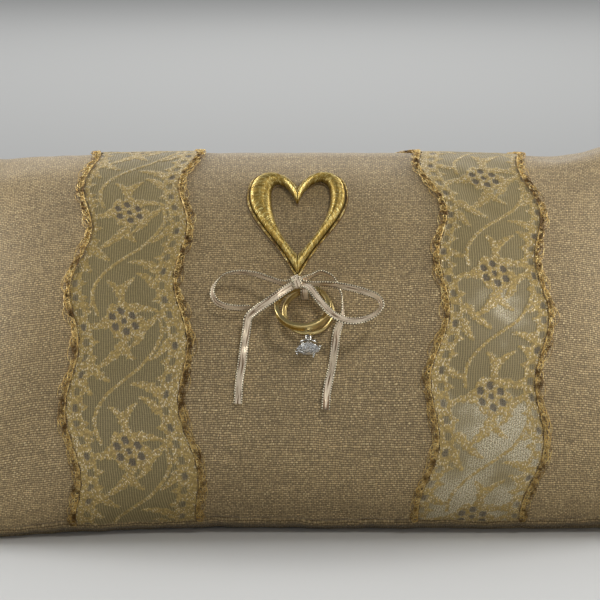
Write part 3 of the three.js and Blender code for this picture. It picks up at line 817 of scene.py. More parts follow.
@dataclass(frozen=True)
class Finish:
    """A material, made once, and the record's slot that it stands for."""

    name: str
    slot: str
    base: Color
    roughness: float = 0.6

    @cached_property
    def material(self) -> bpy.types.Material:
        """The finished material.

        Returns:
            The material.
        """
        made = bpy.data.materials.new(self.name)
        made.use_nodes = True
        made.diffuse_color = self.base
        w = Wiring(made.node_tree)
        w.feed("Base Color", self.base)
        w.feed("Roughness", self.roughness)
        self.wire(w)
        return made

    def wire(self, w: Wiring) -> None:
        """Wires the material; each finish has its own."""

    @staticmethod
    def uv(w: Wiring) -> Socket:
        """Places on the flat cloth, or along a thread."""
        return w.node("TexCoord").outputs["UV"]

    @staticmethod
    def place(w: Wiring) -> Socket:
        """Places in the object's own space."""
        return w.node("TexCoord").outputs["Object"]


@dataclass(frozen=True)
class Linen(Finish):
    """Plain-woven cloth with slubs and a few metallic threads."""

    gap: Color = colour(88, 68, 38)
    weft: Color = colour(184, 161, 117)
    glint: Color = colour(232, 214, 168)
    pitch: float = 0.86 * MM
    glint_share: float = 0.075
    relief: float = 0.1 * MM

    def wire(self, w: Wiring) -> None:
        """Weave, slubs, soft unevenness and metallic glints.

        Args:
            w: the material's wiring.
        """
        uv = self.uv(w)
        weave = w.node("Group", {"Cloth": uv, "Pitch": self.pitch}, node_tree=weave_group())
        height, slub = weave.outputs["Height"], weave.outputs["Slub"]
        threads = w.blend(weave.outputs["Warp"], self.weft, self.base)
        shade = w.ramp(slub, 0.3, 0.7, 0.84, 1.14)
        cloudy = w.ramp(w.noise(uv, 28, 4), 0.3, 0.7, 0.93, 1.07)
        grain = w.scaled(weave.outputs["Speck"], 0.75, 0.62)
        tone = w.times(w.times(shade, cloudy), grain)
        grey = w.node("CombineColor", {0: tone, 1: tone, 2: tone}).outputs[0]
        toned = w.blend(1.0, threads, grey, "MULTIPLY")
        woven = w.blend(w.ramp(height, 0.1, 0.75), self.gap, toned)
        glint = w.times(w.sum("GREATER_THAN", weave.outputs["Speck"], 1 - self.glint_share),
                      w.ramp(height, 0.45, 0.75, 0.0, 0.7))
        w.feed("Base Color", w.blend(glint, woven, self.glint))
        w.feed("Metallic", w.times(glint, 0.85))
        w.feed("Roughness", w.ramp(glint, 0, 1, self.roughness, 0.32))
        w.feed("Normal", w.bump(height, 0.8, self.relief))
        w.feed("Sheen Weight", 0.12)
        w.feed("Sheen Roughness", 0.5)


@dataclass(frozen=True)
class Lace(Finish):
    """Ribbed net with woven gold motifs and painted reflection patches; the motifs and holes are attributes
    of the mesh.
    """

    rib: Color = colour(166, 149, 103)
    motif: Color = colour(216, 188, 118)
    motif_dark: Color = colour(138, 112, 58)
    hole: Color = colour(122, 112, 98)
    # The bright silver of the motif's metal sparks, and also the colour of the painted reflection patches on
    # the net.
    silver_and_reflection: Color = colour(250, 240, 212)
    rib_pitch: float = 0.84 * MM
    thread_pitch: float = 0.5 * MM
    # How much of the net carries painted reflection patches, and how much more of it does between low_from
    # and low_to, towards the lower end.
    reflection_share: float = 0.1
    lower_reflection: float = 0.0
    low_from: float = -34 * MM
    low_to: float = -52 * MM

    def wire(self, w: Wiring) -> None:
        """Ribs, crossing threads, motif threads, eyelets and painted reflection patches of bright silver.

        Args:
            w: the material's wiring.
        """
        uv = self.uv(w)
        u, v = w.parts(uv)
        drift = w.ramp(w.noise(uv, 90, 2), 0.3, 0.7, -0.3, 0.3)
        x = w.sum("ADD", w.sum("DIVIDE", u, self.rib_pitch), drift)
        y = w.sum("ADD", w.sum("DIVIDE", v, self.rib_pitch * 0.8), drift)
        ribs = w.ridges(x)
        rungs = w.ridges(y)
        rib = w.ramp(ribs, 0.62, 0.98)
        rung = w.times(w.ramp(rungs, 0.6, 1.0), 0.35)
        net = w.sum("MAXIMUM", rib, rung)
        fuzz = w.ramp(w.noise(uv, 2600, 3), 0.3, 0.7)
        # Painted reflection: silvery patches on the net where it would mirror the lamp and the lit floor,
        # with more of them towards the band's lower end.
        lower = w.ramp(v, self.low_to, self.low_from, self.lower_reflection, 0.0)
        cloud = w.sum("ADD", w.noise(uv, 34, 3), lower)
        metal = w.times(w.ramp(cloud, 0.62 - self.reflection_share, 0.78 - self.reflection_share),
                      w.ramp(fuzz, 0.25, 0.75))
        mottle = w.ramp(w.noise(uv, 900, 3, 0.8), 0.36, 0.64, 0.3, 1.0)
        ground = w.blend(w.times(net, mottle), self.base, self.rib)
        ground = w.blend(w.times(metal, 0.9), ground, self.silver_and_reflection)
        motif = w.node("Attribute", attribute_name="motif").outputs["Fac"]
        hole = w.node("Attribute", attribute_name="hole").outputs["Fac"]
        grain = w.node("Group", {"Cloth": uv, "Pitch": self.thread_pitch}, node_tree=weave_group())
        patchy = w.times(w.ramp(grain.outputs["Speck"], 0.0, 1.0, 0.35, 1.0), mottle)
        worked = w.blend(patchy, self.motif_dark, self.motif)
        spark = w.sum("GREATER_THAN", grain.outputs["Speck"], 0.9)
        worked = w.blend(w.times(spark, 0.8), worked, self.silver_and_reflection)
        edge = w.times(w.ramp(motif, 0.25, 0.7), w.ramp(mottle, 0.3, 0.7, 0.5, 1.0))
        mixed = w.blend(edge, ground, worked)
        mixed = w.blend(w.times(hole, 0.8), mixed, self.hole)
        w.feed("Base Color", mixed)
        # The painted reflection patches are made metallic as well as bright.
        bright = w.sum("MAXIMUM", w.times(edge, w.scaled(spark, 0.5, 0.35)), metal)
        w.feed("Metallic", w.times(bright, 0.8))
        w.feed("Roughness", w.ramp(fuzz, 0, 1, 0.3, 0.6))
        mesh = w.ramp(w.sum("MAXIMUM", net, edge), 0.0, 0.5, 0.72, 1.0)
        opened = w.times(mesh, w.ramp(hole, 0.4, 0.9, 1.0, 0.7))
        w.feed("Alpha", opened)
        height = w.sum("MAXIMUM", w.times(net, 0.5), w.times(edge, grain.outputs["Height"]))
        w.feed("Normal", w.bump(height, 0.7, 0.14 * MM))


@dataclass(frozen=True)
class Gimp(Finish):
    """Metallic looped edging, darker inside its loops."""

    dark: Color = colour(104, 74, 30)
    bright: Color = colour(244, 226, 164)
    lay: float = 0.5 * MM

    def wire(self, w: Wiring) -> None:
        """Twist, uneven darkening and bright turns of metal.

        Args:
            w: the material's wiring.
        """
        yarn = w.node("Group", {"Thread": self.uv(w), "Lay": self.lay}, node_tree=yarn_group())
        cloud = w.ramp(w.noise(self.place(w), 300, 3), 0.34, 0.56)
        body = w.blend(cloud, self.dark, self.base)
        spark = w.times(w.sum("GREATER_THAN", yarn.outputs["Speck"], 0.74), cloud)
        w.feed("Base Color", w.blend(w.times(spark, 0.9), body, self.bright))
        w.feed("Metallic", w.scaled(spark, 0.4, 0.5))
        w.feed("Normal", w.bump(yarn.outputs["Height"], 0.6, 0.1 * MM))


@dataclass(frozen=True)
class Satin(Finish):
    """Metallic satin stitches with painted highlights in streaks."""

    deep: Color = colour(150, 122, 52)
    # The colour of the painted highlight streaks.
    bright: Color = colour(246, 232, 160)

    def wire(self, w: Wiring) -> None:
        """Tone from stitch to stitch, fine breaks along each, and painted highlight streaks.

        Args:
            w: the material's wiring.
        """
        run, number = w.parts(self.uv(w))
        stitch = w.sum("FLOOR", w.sum("ADD", number, 0.5))
        chance = w.speck(stitch, 3.0)
        along = w.node("CombineXYZ", {0: w.times(run, 420), 1: w.times(stitch, 5.3)})
        breaks_and_highlight = w.noise(along.outputs[0], 1.0, 3, 0.7)
        body = w.blend(w.ramp(chance, 0.0, 0.8), self.deep, self.base)
        # Painted highlight: the bright colour is mixed in along the streaks; the same noise makes the bump of
        # the fine breaks.
        toned = w.blend(w.ramp(breaks_and_highlight, 0.48, 0.66, 0.0, 0.9), body, self.bright)
        w.feed("Base Color", toned)
        w.feed("Roughness", w.ramp(chance, 0.0, 1.0, 0.28, 0.46))
        w.feed("Normal", w.bump(breaks_and_highlight, 0.5, 0.08 * MM))
        w.feed("Metallic", 0.7)


@dataclass(frozen=True)
class Ribbon(Finish):
    """Satin ribbon: fine ribs across it, and metallic stitches that dot both edges."""

    # The dark tone of the painted sheen streaks; the base colour is their bright tone.
    deep: Color = colour(122, 94, 66)
    edge: Color = colour(250, 238, 204)
    edge_gap: Color = colour(44, 32, 20)
    half_width: float = 1.6 * MM
    dot: float = 0.9 * MM
    rib: float = 0.26 * MM

    def wire(self, w: Wiring) -> None:
        """Ribs, edge stitches, a satin gloss and painted sheen in streaks along the ribbon.

        Args:
            w: the material's wiring.
        """
        run, across = w.parts(self.uv(w))
        wide = w.sum("ABSOLUTE", across)
        ribs = w.ridges(run, math.pi / self.rib)
        dots = w.ridges(run, math.pi / self.dot)
        rim = w.ramp(wide, self.half_width * 0.64, self.half_width * 0.78)
        stitched = w.blend(w.ramp(dots, 0.5, 0.8), self.edge_gap, self.edge)
        # Painted sheen: the body is streaked along its length between the dark tone and the bright base; the
        # roughness follows the same streaks.
        drawn = w.node("CombineXYZ", {0: w.times(run, 120), 1: w.times(across, 1500)})
        uneven = w.ramp(w.noise(drawn.outputs[0], 1.0, 3), 0.38, 0.56)
        body = w.blend(uneven, self.deep, self.base)
        w.feed("Base Color", w.blend(rim, body, stitched))
        w.feed("Metallic", w.scaled(rim, 0.3, 0.35))
        w.feed("Roughness", w.ramp(uneven, 0, 1, 0.34, 0.24))
        height = w.sum("MAXIMUM", w.times(ribs, 0.3), w.times(rim, dots))
        w.feed("Normal", w.bump(height, 0.6, 0.12 * MM))
        w.feed("Sheen Weight", 0.15)


@dataclass(frozen=True)
class Thread(Finish):
    """Matt spun thread."""

    lay: float = 0.4 * MM

    def wire(self, w: Wiring) -> None:
        """Twist as bump, and a little unevenness of tone.

        Args:
            w: the material's wiring.
        """
        yarn = w.node("Group", {"Thread": self.uv(w), "Lay": self.lay}, node_tree=yarn_group())
        dark = tuple(0.5 * c for c in self.base[:3]) + (1.0,)
        w.feed("Base Color", w.blend(w.noise(self.place(w), 700, 2), dark, self.base))
        w.feed("Normal", w.bump(yarn.outputs["Height"], 0.5, 0.08 * MM))


@dataclass(frozen=True)
class Fluff(Finish):
    """Felt, muslin or loose fibre: soft, with short fibres on its face."""

    scale: float = 1500

    def wire(self, w: Wiring) -> None:
        """Matted fibres in tone and bump.

        Args:
            w: the material's wiring.
        """
        fibres = w.noise(self.place(w), self.scale, 4, 0.65)
        dark = tuple(0.6 * c for c in self.base[:3]) + (1.0,)
        w.feed("Base Color", w.blend(w.ramp(fibres, 0.3, 0.7), dark, self.base))
        w.feed("Normal", w.bump(fibres, 0.6, 0.3 * MM))
        w.feed("Sheen Weight", 0.3)


@dataclass(frozen=True)
class Metal(Finish):
    """Polished precious metal with fine wear."""

    wear: float = 0.1

    def wire(self, w: Wiring) -> None:
        """Fine hairlines and a slight haze.

        Args:
            w: the material's wiring.
        """
        place = self.place(w)
        hairline = w.noise(w.stretch(place, 1.0, 6.0, 1.0), 1100, 3, 0.6)
        haze = w.noise(place, 160, 2)
        rough = w.scaled(w.ramp(haze, 0.35, 0.7), self.wear, self.roughness)
        w.feed("Roughness", rough)
        w.feed("Normal", w.bump(hairline, 0.08, 0.05 * MM))
        w.feed("Metallic", 1.0)


@dataclass(frozen=True)
class Gem(Finish):
    """Clear, faceted stone."""

    index: float = 2.2
    clear: float = 0.85

    def wire(self, w: Wiring) -> None:
        """Clear glass of a high index, with a faint handling haze.

        Args:
            w: the material's wiring.
        """
        haze = w.ramp(w.noise(self.place(w), 900, 2), 0.4, 0.8, self.roughness, self.roughness + 0.03)
        w.feed("Roughness", haze)
        w.feed("Transmission Weight", self.clear)
        w.feed("IOR", self.index)


@dataclass(frozen=True)
class Wardrobe:
    """Every finish of the pillow."""

    linen: Linen = Linen("champagne_linen", "linen_cover", colour(150, 126, 84), 0.6)
    muslin: Fluff = Fluff("muslin", "muslin_insert", colour(226, 218, 200), 0.9, 2200)
    fibre: Fluff = Fluff("polyester_fibre", "fibre_fill", colour(244, 242, 236), 1.0, 500)
    thread: Thread = Thread("sewing_thread", "sewing_thread", colour(112, 92, 60), 0.8)
    # The two bands are the same lace: the left band's darker base is painted shade and the right band's
    # lighter base is painted light, and the right band has more painted reflection patches, most towards its
    # bottom.
    lace_left: Lace = Lace("gold_lace_left_shaded", "gold_lace", colour(132, 117, 77), reflection_share=-0.06)
    lace_right: Lace = Lace("gold_lace_right_lit", "gold_lace", colour(144, 128, 88), reflection_share=0.06,
                             lower_reflection=0.22)
    gimp: Gimp = Gimp("gold_gimp", "gold_gimp", colour(206, 170, 98), 0.42)
    felt: Fluff = Fluff("emblem_felt", "felt", colour(140, 112, 62), 0.95)
    satin: Satin = Satin("gold_satin_stitch", "gold_satin", colour(176, 146, 68), 0.34)
    outline: Gimp = Gimp("gold_outline_cord", "gold_gimp", colour(178, 148, 74), 0.4)
    ribbon: Ribbon = Ribbon("champagne_ribbon", "ribbon", colour(250, 230, 200), 0.3)
    yellow_gold: Metal = Metal("yellow_gold", "yellow_gold", colour(212, 190, 130), 0.26)
    white_gold: Metal = Metal("white_gold", "white_gold", colour(222, 222, 216), 0.12)
    gem: Gem = Gem("clear_stone", "clear_stone", colour(246, 246, 244), 0.0)
    small_gem: Gem = Gem("channel_stone", "clear_stone", colour(232, 232, 238), 0.0, clear=0.3)


# ---- camera, light and floor ----


@dataclass(frozen=True)
class Lamp:
    """A soft rectangular light that looks at one point."""

    name: str
    place: tuple[float, float, float]
    size: tuple[float, float]
    watts: float
    tint: tuple[float, float, float] = (1.0, 1.0, 1.0)
    target: tuple[float, float, float] | None = None

    def build(self, aim: Vector) -> None:
        """Adds the light, turned to its own target or else to the common point.

        Args:
            aim: the common point.
        """
        aim = Vector(self.target) if self.target else aim
        light = bpy.data.lights.new(self.name, "AREA")
        light.shape = "RECTANGLE"
        light.size, light.size_y = self.size
        light.energy = self.watts
        light.color = self.tint
        obj = shown(self.name, light)
        obj.location = self.place
        obj.rotation_euler = (aim - Vector(self.place)).to_track_quat("-Z", "Y").to_euler()


@dataclass
class Studio:
    """The camera, the plain floor and the soft lights."""

    eye: tuple[float, float, float] = (0.0, -1.2118, 0.2374)
    aim: tuple[float, float, float] = (-0.0026, -0.0213, 0.0845)
    lens: float = 197.5
    floor_size: float = 24.0
    lamp_aim: tuple[float, float, float] = (0.0, 0.0, 0.07)
    ambient: float = 0.17
    lamps: tuple[Lamp, ...] = (
        Lamp("key_above", (0.40, -0.55, 0.87), (0.15, 0.15), 2.4, (1.0, 0.97, 0.92)),
        Lamp("left_panel", (-0.56, 0.12, 0.28), (0.4, 0.3), 3.4),
        Lamp("right_panel", (0.56, 0.12, 0.28), (0.4, 0.3), 3.3),
        Lamp("front_fill", (0.1, -1.75, 0.6), (1.2, 0.8), 4.5),
        Lamp("backdrop_light", (0.0, 3.2, 2.2), (4.0, 4.0), 60.0, target=(0.0, 3.2, 0.0)),
        Lamp("backdrop_glow", (0.0, 2.6, 0.9), (0.5, 3.2), 3.6, target=(0.0, 2.6, 0.0)),
    )

    def camera(self) -> None:
        """Adds the camera."""
        data = bpy.data.cameras.new("camera")
        data.lens = self.lens
        data.clip_start, data.clip_end = 0.05, 60
        obj = shown("camera", data)
        obj.location = self.eye
        obj.rotation_euler = (Vector(self.aim) - Vector(self.eye)).to_track_quat("-Z", "Y").to_euler()
        bpy.context.scene.camera = obj

    def room(self) -> None:
        """Adds the floor, the lights and the ambient light."""
        pick_nothing()
        bpy.ops.mesh.primitive_plane_add(size=self.floor_size, location=(0, 0, 0))
        floor = added("floor")
        paper = Finish("floor_paper", "", colour(197, 197, 195), 0.85)
        floor.data.materials.append(paper.material)
        for lamp in self.lamps:
            lamp.build(Vector(self.lamp_aim))
        world = bpy.data.worlds.new("room")
        world.use_nodes = True
        background = world.node_tree.nodes["Background"]
        background.inputs["Color"].default_value = (0.93, 0.96, 1.0, 1.0)
        background.inputs["Strength"].default_value = self.ambient
        bpy.context.scene.world = world
        bpy.context.scene.view_settings.view_transform = "Standard"


def pick_nothing() -> None:
    """Deselects everything."""
    bpy.ops.object.select_all(action="DESELECT")


# ---- ribbon bow ----


@dataclass
class Bow:
    """The ribbon bow: two loops, two tails, the knot, and the loop and stitch that hold it on."""

    surface: Surface
    finish: Finish
    thread: Finish
    width: float = 3.2 * MM
    thick: float = 0.3 * MM
    bead: float = 0.2 * MM
    knot_at: tuple[float, float] = (-3.6 * MM, -8.6 * MM)
    knot_lift: float = 9.9 * MM
    knot_size: tuple[float, float, float] = (4.6 * MM, 4.8 * MM, 3.2 * MM)
    hanger_u: float = -0.8 * MM
    hanger_v: float = -8.2 * MM
    hanger_span: float = 6.2 * MM
    hanger_low: float = 0.3 * MM
    hanger_top: float = 7.28 * MM
    hanger_square: float = 0.55
    knot_turns: tuple = ((0.35, 1.0, -0.25), (-0.25, 0.9, 0.3), (0.9, 0.82, 0.0))
    knot_gather: tuple[float, float] = (0.62, 1.2)
    tack_stitches: int = 4
    tack_pitch: float = 0.32 * MM
    tack_reach: float = 1.1 * MM
    tack_rise: float = 0.32 * MM
    tack_r: float = 0.14 * MM
    tack_in: float = 1.2 * MM
    steps: int = 9
    loop_left: tuple = (
        (-8.0, -8.6, 9.2, 80), (-13.0, -6.6, 8.4, 84), (-18.5, -4.2, 7.6, 86), (-24.5, -3.0, 6.8, 94),
        (-29.5, -3.8, 6.2, 106), (-32.6, -6.6, 5.6, 118), (-33.6, -10.4, 5.0, 120), (-32.0, -13.6, 4.6, 114),
        (-28.5, -15.4, 4.4, 108), (-24.0, -15.8, 4.2, 102), (-20.0, -15.6, 4.0, 98))
    loop_right: tuple = (
        (0.5, -11.2, 11.8, 25), (4.5, -16.6, 12.2, 25), (9.0, -21.6, 12.6, 20), (14.0, -23.8, 12.6, 18),
        (19.5, -23.4, 12.2, 28), (24.0, -21.0, 11.6, 46), (26.2, -17.6, 10.8, 62), (24.8, -14.4, 10.2, 68),
        (20.5, -12.4, 10.2, 64), (14.5, -10.6, 10.0, 68), (8.0, -9.4, 9.8, 78), (1.0, -8.9, 9.4, 88))
    tail_left_root: tuple = (
        (-7.4, -11.6, 10.6, 16), (-11.0, -14.2, 10.4, 8), (-15.0, -16.6, 9.2, 6), (-18.4, -18.2, 7.0, 6))
    tail_left: tuple = (
        (-20.8, -20.0, 4.6, 4), (-21.2, -22.6, 3.2, 12), (-22.0, -28.6, 2.2, 22), (-22.8, -35.8, 1.7, -6),
        (-23.6, -43.0, 2.1, -20), (-24.0, -51.0, 2.0, -8))
    tail_right_root: tuple = (
        (1.2, -5.6, 8.4, 90), (4.5, -3.6, 7.6, 90), (8.4, -4.6, 6.8, 90), (10.8, -7.6, 6.0, 90),
        (12.2, -12.0, 5.4, 90), (12.6, -17.4, 5.0, 75))
    tail_right: tuple = (
        (12.0, -20.8, 4.4, 40), (10.6, -24.4, 3.4, 22), (9.6, -31.6, 2.0, -12), (8.6, -38.6, 2.2, -24),
        (7.0, -46.0, 1.7, 4), (6.4, -53.0, 2.1, 14))

    def _section(self) -> Array:
        """The ribbon's section, flat with a fine bead along each edge.

        Returns:
            The section's corners.
        """
        half, flat, bead = self.width / 2, self.thick / 2, self.bead
        upper = [(-half, 0), (-half + bead * 0.5, bead), (-half + 2 * bead, flat), (-half * 0.4, flat),
                 (half * 0.4, flat), (half - 2 * bead, flat), (half - bead * 0.5, bead), (half, 0)]
        lower = [(x, -y) for x, y in upper[-2:0:-1]]
        return np.array(upper + lower)

    def _stops(self, route: Sequence[Sequence[float]]) -> tuple[Array, Array, Array]:
        """The ribbon's places and its side and up directions along a route.

        Args:
            route: stops: across, up, height off the face in mm, and turn in degrees.

        Returns:
            The places, the side directions and the up directions.
        """
        table = np.array(route, float)
        u, v, lift = (table[:, k] * MM for k in range(3))
        place, _, _, out = self.surface.frame(u, v)
        path = centripetal(place + out * lift[:, None], self.steps)
        at = np.linspace(0, len(table) - 1, len(path))
        knots = np.arange(len(table))
        outs = unit(np.stack([np.interp(at, knots, out[:, k]) for k in range(3)], axis=-1))
        turn = np.radians(np.interp(at, knots, table[:, 3]))[:, None]
        along = unit(np.gradient(path, axis=0))
        flat_side = unit(np.cross(along, outs))
        raised = unit(np.cross(flat_side, along))
        side = flat_side * np.cos(turn) + raised * np.sin(turn)
        return path, side, unit(np.cross(side, along))

    def _ribbon(self, name: str, route: Sequence[Sequence[float]]) -> tuple[Object, Array]:
        """One length of ribbon along a route, and the line that it follows.

        Args:
            name: the object's name.
            route: its stops.

        Returns:
            The object and the line.
        """
        path, side, up = self._stops(route)
        batch = Batch()
        batch.sweep(path, side, up, self._section())
        return batch.build(name), path

    def _from_knot(self, turn: float, spread: tuple[float, float] = (0.0, 0.0)) -> tuple:
        """The stop inside the knot where a length of ribbon begins or ends.

        Args:
            turn: the ribbon's turn in degrees.
            spread: how far off the knot's middle, in mm.

        Returns:
            The stop.
        """
        u, v = self.knot_at
        return (u / MM + spread[0], v / MM + spread[1], self.knot_lift / MM, turn)

    def tails(self) -> None:
        """The two free tails, each one ribbon from the knot to its cut end."""
        rows = (
            ("left", [self._from_knot(20, (-0.6, -0.6)), *self.tail_left_root, *self.tail_left], 18.6, 21.4),
            ("right", [self._from_knot(90, (0.6, 0.8)), *self.tail_right_root, *self.tail_right], 18.2, 21.4),
        )
        for hand, route, above, below in rows:
            obj, path = self._ribbon(f"ribbon_{hand}", route)
            dress(obj, self.finish)
            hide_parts(f"ribbon_tail_{hand}_root", f"ribbon_tail_{hand}")
            hinge = len(route) - len(self.tail_left)
            u, v, lift = (value * MM for value in route[hinge][:3])
            _, _, upward, _ = self._axes(u, v)
            place = self.surface.lifted(np.array(u), np.array(v), np.array(lift))
            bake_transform(obj)
            length = float(np.linalg.norm(np.diff(path, axis=0), axis=1).sum())
            log.info("ribbon tail %s: %.1f mm", hand, length / MM)

    def loops(self) -> None:
        """The two loops, which start and end in the knot."""
        left = [self._from_knot(80, (-1.0, 0.6)), *self.loop_left]
        right = [self._from_knot(25, (0.8, -0.6)), *self.loop_right, self._from_knot(90, (0.4, 0.4))]
        for node, route in (("bow_loop_left", left), ("bow_loop_right", right)):
            obj, _ = self._ribbon(node + "_ribbon", route)
            complete(obj, self.finish, "pillow", node)

    def _axes(self, u: float, v: float) -> tuple[Array, Array, Array, Array]:
        """The surface's frame at one place."""
        return self.surface.frame(np.array(u), np.array(v))

    def knot(self) -> None:
        """The knot: ribbon wound over the crossing in two slanting turns, with a soft core."""
        place, across, upward, out = self._axes(*self.knot_at)
        middle = place + out * self.knot_lift
        batch = Batch()
        wide, tall, deep = self.knot_size
        theta = np.linspace(0, 2 * math.pi, 40, endpoint=False)
        for slant, swell, shift in self.knot_turns:
            axis = across * math.cos(slant) + upward * math.sin(slant)
            other = np.cross(out, axis)
            pinch = 1 + 0.08 * np.sin(3 * theta + slant)
            path = (middle + axis * shift * MM + other * (tall / 2 * swell * pinch * np.cos(theta))[:, None]
                    + out * (deep / 2 * swell * np.sin(theta))[:, None])
            sides, ups = path_frames(path, path - middle, closed=True)
            section = self._section() * self.knot_gather * [wide / self.width, 1]
            batch.sweep(path, sides, ups, section, closed=True)
        obj = batch.build("bow_knot_wrap")
        complete(obj, self.finish, "pillow", "bow_knot")

    def hanger(self) -> None:
        """The ribbon loop that passes through both rings, and the stitches that tack it down."""
        place, across, upward, out = self._axes(self.hanger_u, self.hanger_v)
        theta = np.linspace(0, 2 * math.pi, 56, endpoint=False)
        middle = (self.hanger_low + self.hanger_top + self.thick) / 2
        tall = (self.hanger_top - self.hanger_low + self.thick) / 2
        reach = self.hanger_span / 2 + self.thick / 2
        cos, sin = (np.sign(f) * np.abs(f) ** self.hanger_square for f in (np.cos(theta), np.sin(theta)))
        path = place + upward * (reach * cos)[:, None] + out * (middle + tall * sin)[:, None]
        guide = unit(path - (place + out * middle))
        sides, ups = path_frames(path, guide, closed=True)
        batch = Batch()
        batch.sweep(path, sides, ups, self._section(), closed=True)
        obj = batch.build("ring_hanger_ribbon")
        complete(obj, self.finish, "pillow", "ring_hanger")

        stitches = Batch()
        base = place + upward * (reach - self.tack_in) + out * (self.hanger_low + self.thick)
        s = np.linspace(-1, 1, 9)
        for k in range(self.tack_stitches):
            row = base + upward * (k - (self.tack_stitches - 1) / 2) * self.tack_pitch
            arch = row + across * (s * self.tack_reach)[:, None]
            arch += out * (self.tack_rise * (1 - s**4))[:, None]
            sides, ups = path_frames(arch, np.broadcast_to(out, arch.shape))
            stitches.sweep(arch, sides, ups, round_section(self.tack_r, 8))
        tack = stitches.build("tack_stitches")
        complete(tack, self.thread, "pillow", "tack_stitch")


# ---- cushion ----


@dataclass
class Stuffing:
    """Fills the flat cover and finds how its cloth wrinkles between the seams."""

    shape: CushionShape
    columns: int = 96
    rows: int = 60
    frames: int = 18
    pressure: float = 5.0
    most: float = 4.5 * MM
    calm_from: tuple[float, float] = (-46 * MM, -62 * MM)
    calm_to: tuple[float, float] = (40 * MM, 62 * MM)
    calm_over: float = 22 * MM
    held_under: float = 0.02
    fine_columns: int = 320
    fine_rows: int = 200
    pucker: float = 0.42 * MM
    pucker_over: float = 13 * MM
    broad: float = 16.0
    seam_over: float = 8 * MM
    sway: float = 0.4 * MM
    sway_over: float = 7 * MM
    rules: dict = field(default_factory=lambda: {
        "quality": 6, "mass": 0.25, "air_damping": 3, "use_pressure": True, "vertex_group_mass": "held",
        "tension_stiffness": 40, "compression_stiffness": 40, "shear_stiffness": 15,
        "bending_stiffness": 0.15, "tension_damping": 12, "compression_damping": 12, "shear_damping": 12})

    def calm(self, u: Array, v: Array) -> Array:
        """0 under the emblem, bow and rings, where nothing moves, rising to 1 away from them.

        Args:
            u: across the flat cloth.
            v: up the flat cloth.

        Returns:
            The shares.
        """
        away_u = np.maximum(self.calm_from[0] - u, u - self.calm_to[0])
        away_v = np.maximum(self.calm_from[1] - v, v - self.calm_to[1])
        away = np.hypot(np.maximum(away_u, 0), np.maximum(away_v, 0))
        return smooth(away / self.calm_over)

    def _flat(self, columns: int, rows: int) -> tuple[Array, Array]:
        """A grid of places on the flat cloth."""
        half_u, half_v = self.shape.flat_width / 2, self.shape.flat_height / 2
        return np.meshgrid(np.linspace(-half_u, half_u, columns + 1), np.linspace(-half_v, half_v, rows + 1))

    def _cloth(self) -> tuple[Object, dict[Side, Array], Array]:
        """The cover as one welded mesh, with its flat cut as a shape key.

        Returns:
            The object, each panel's grid of vertex numbers, and the starting points.
        """
        u, v = self._flat(self.columns, self.rows)
        ids = {Side.FRONT: np.arange(u.size).reshape(u.shape)}
        inner = ids[Side.FRONT].copy()
        inner[1:-1, 1:-1] = np.arange(inner[1:-1, 1:-1].size).reshape(inner[1:-1, 1:-1].shape) + u.size
        ids[Side.BACK] = inner
        front = self.shape.point(u, v, Side.FRONT)
        back = self.shape.point(u, v, Side.BACK)
        start = np.concatenate([front.reshape(-1, 3), back[1:-1, 1:-1].reshape(-1, 3)])
        flat_front = np.stack([u, np.zeros_like(u), v], axis=-1)
        flat = np.concatenate([flat_front.reshape(-1, 3), flat_front[1:-1, 1:-1].reshape(-1, 3)])
        quads = []
        for side, grid in ids.items():
            corners = [grid[:-1, :-1], grid[:-1, 1:], grid[1:, 1:], grid[1:, :-1]]
            quad = np.stack(corners if side is Side.FRONT else corners[::-1], axis=-1)
            quads.append(quad.reshape(-1, 4))
        mesh = bpy.data.meshes.new("cover_cloth")
        mesh.from_pydata(start.tolist(), [], np.concatenate(quads).tolist())
        obj = shown("cover_cloth", mesh)
        obj.shape_key_add(name="Basis")
        cut = obj.shape_key_add(name="Cut")
        cut.data.foreach_set("co", flat.ravel())
        held = obj.vertex_groups.new(name="held")
        held.add(np.flatnonzero(self.calm(u, v) < self.held_under).tolist(), 1.0, "REPLACE")
        return obj, ids, start

    def settle(self) -> dict[Side, Array]:
        """Runs the cloth and returns how far each panel's places moved, on a fine grid.

        Returns:
            The movement of each panel, in rows and columns.
        """
        moved = {side: np.zeros((self.rows + 1, self.columns + 1, 3)) for side in Side}
        obj, ids, start = self._cloth()
        cloth = obj.modifiers.new("cloth", "CLOTH")
        rest = obj.data.shape_keys.key_blocks["Cut"]
        cloth.settings.effector_weights.gravity = 0
        rules = {**self.rules, "uniform_pressure_force": self.pressure, "rest_shape_key": rest}
        for rule, value in rules.items():
            setattr(cloth.settings, rule, value)
        cloth.collision_settings.use_collision = False
        scene = bpy.context.scene
        cloth.point_cache.frame_start, cloth.point_cache.frame_end = 1, self.frames
        for number in range(1, self.frames + 1):
            scene.frame_set(number)
        done = obj.evaluated_get(bpy.context.evaluated_depsgraph_get()).data
        places = np.zeros(len(done.vertices) * 3)
        done.vertices.foreach_get("co", places)
        shift = places.reshape(-1, 3) - start
        length = np.linalg.norm(shift, axis=-1, keepdims=True)
        log.info("stuffing moved the cloth by up to %.1f mm", length.max() / MM)
        shift *= self.most / (self.most + length)
        for side in Side:
            moved[side] = shift[ids[side]]
        scene.frame_set(1)
        bpy.data.objects.remove(obj)
        return {side: self._finish(side, moved[side]) for side in Side}

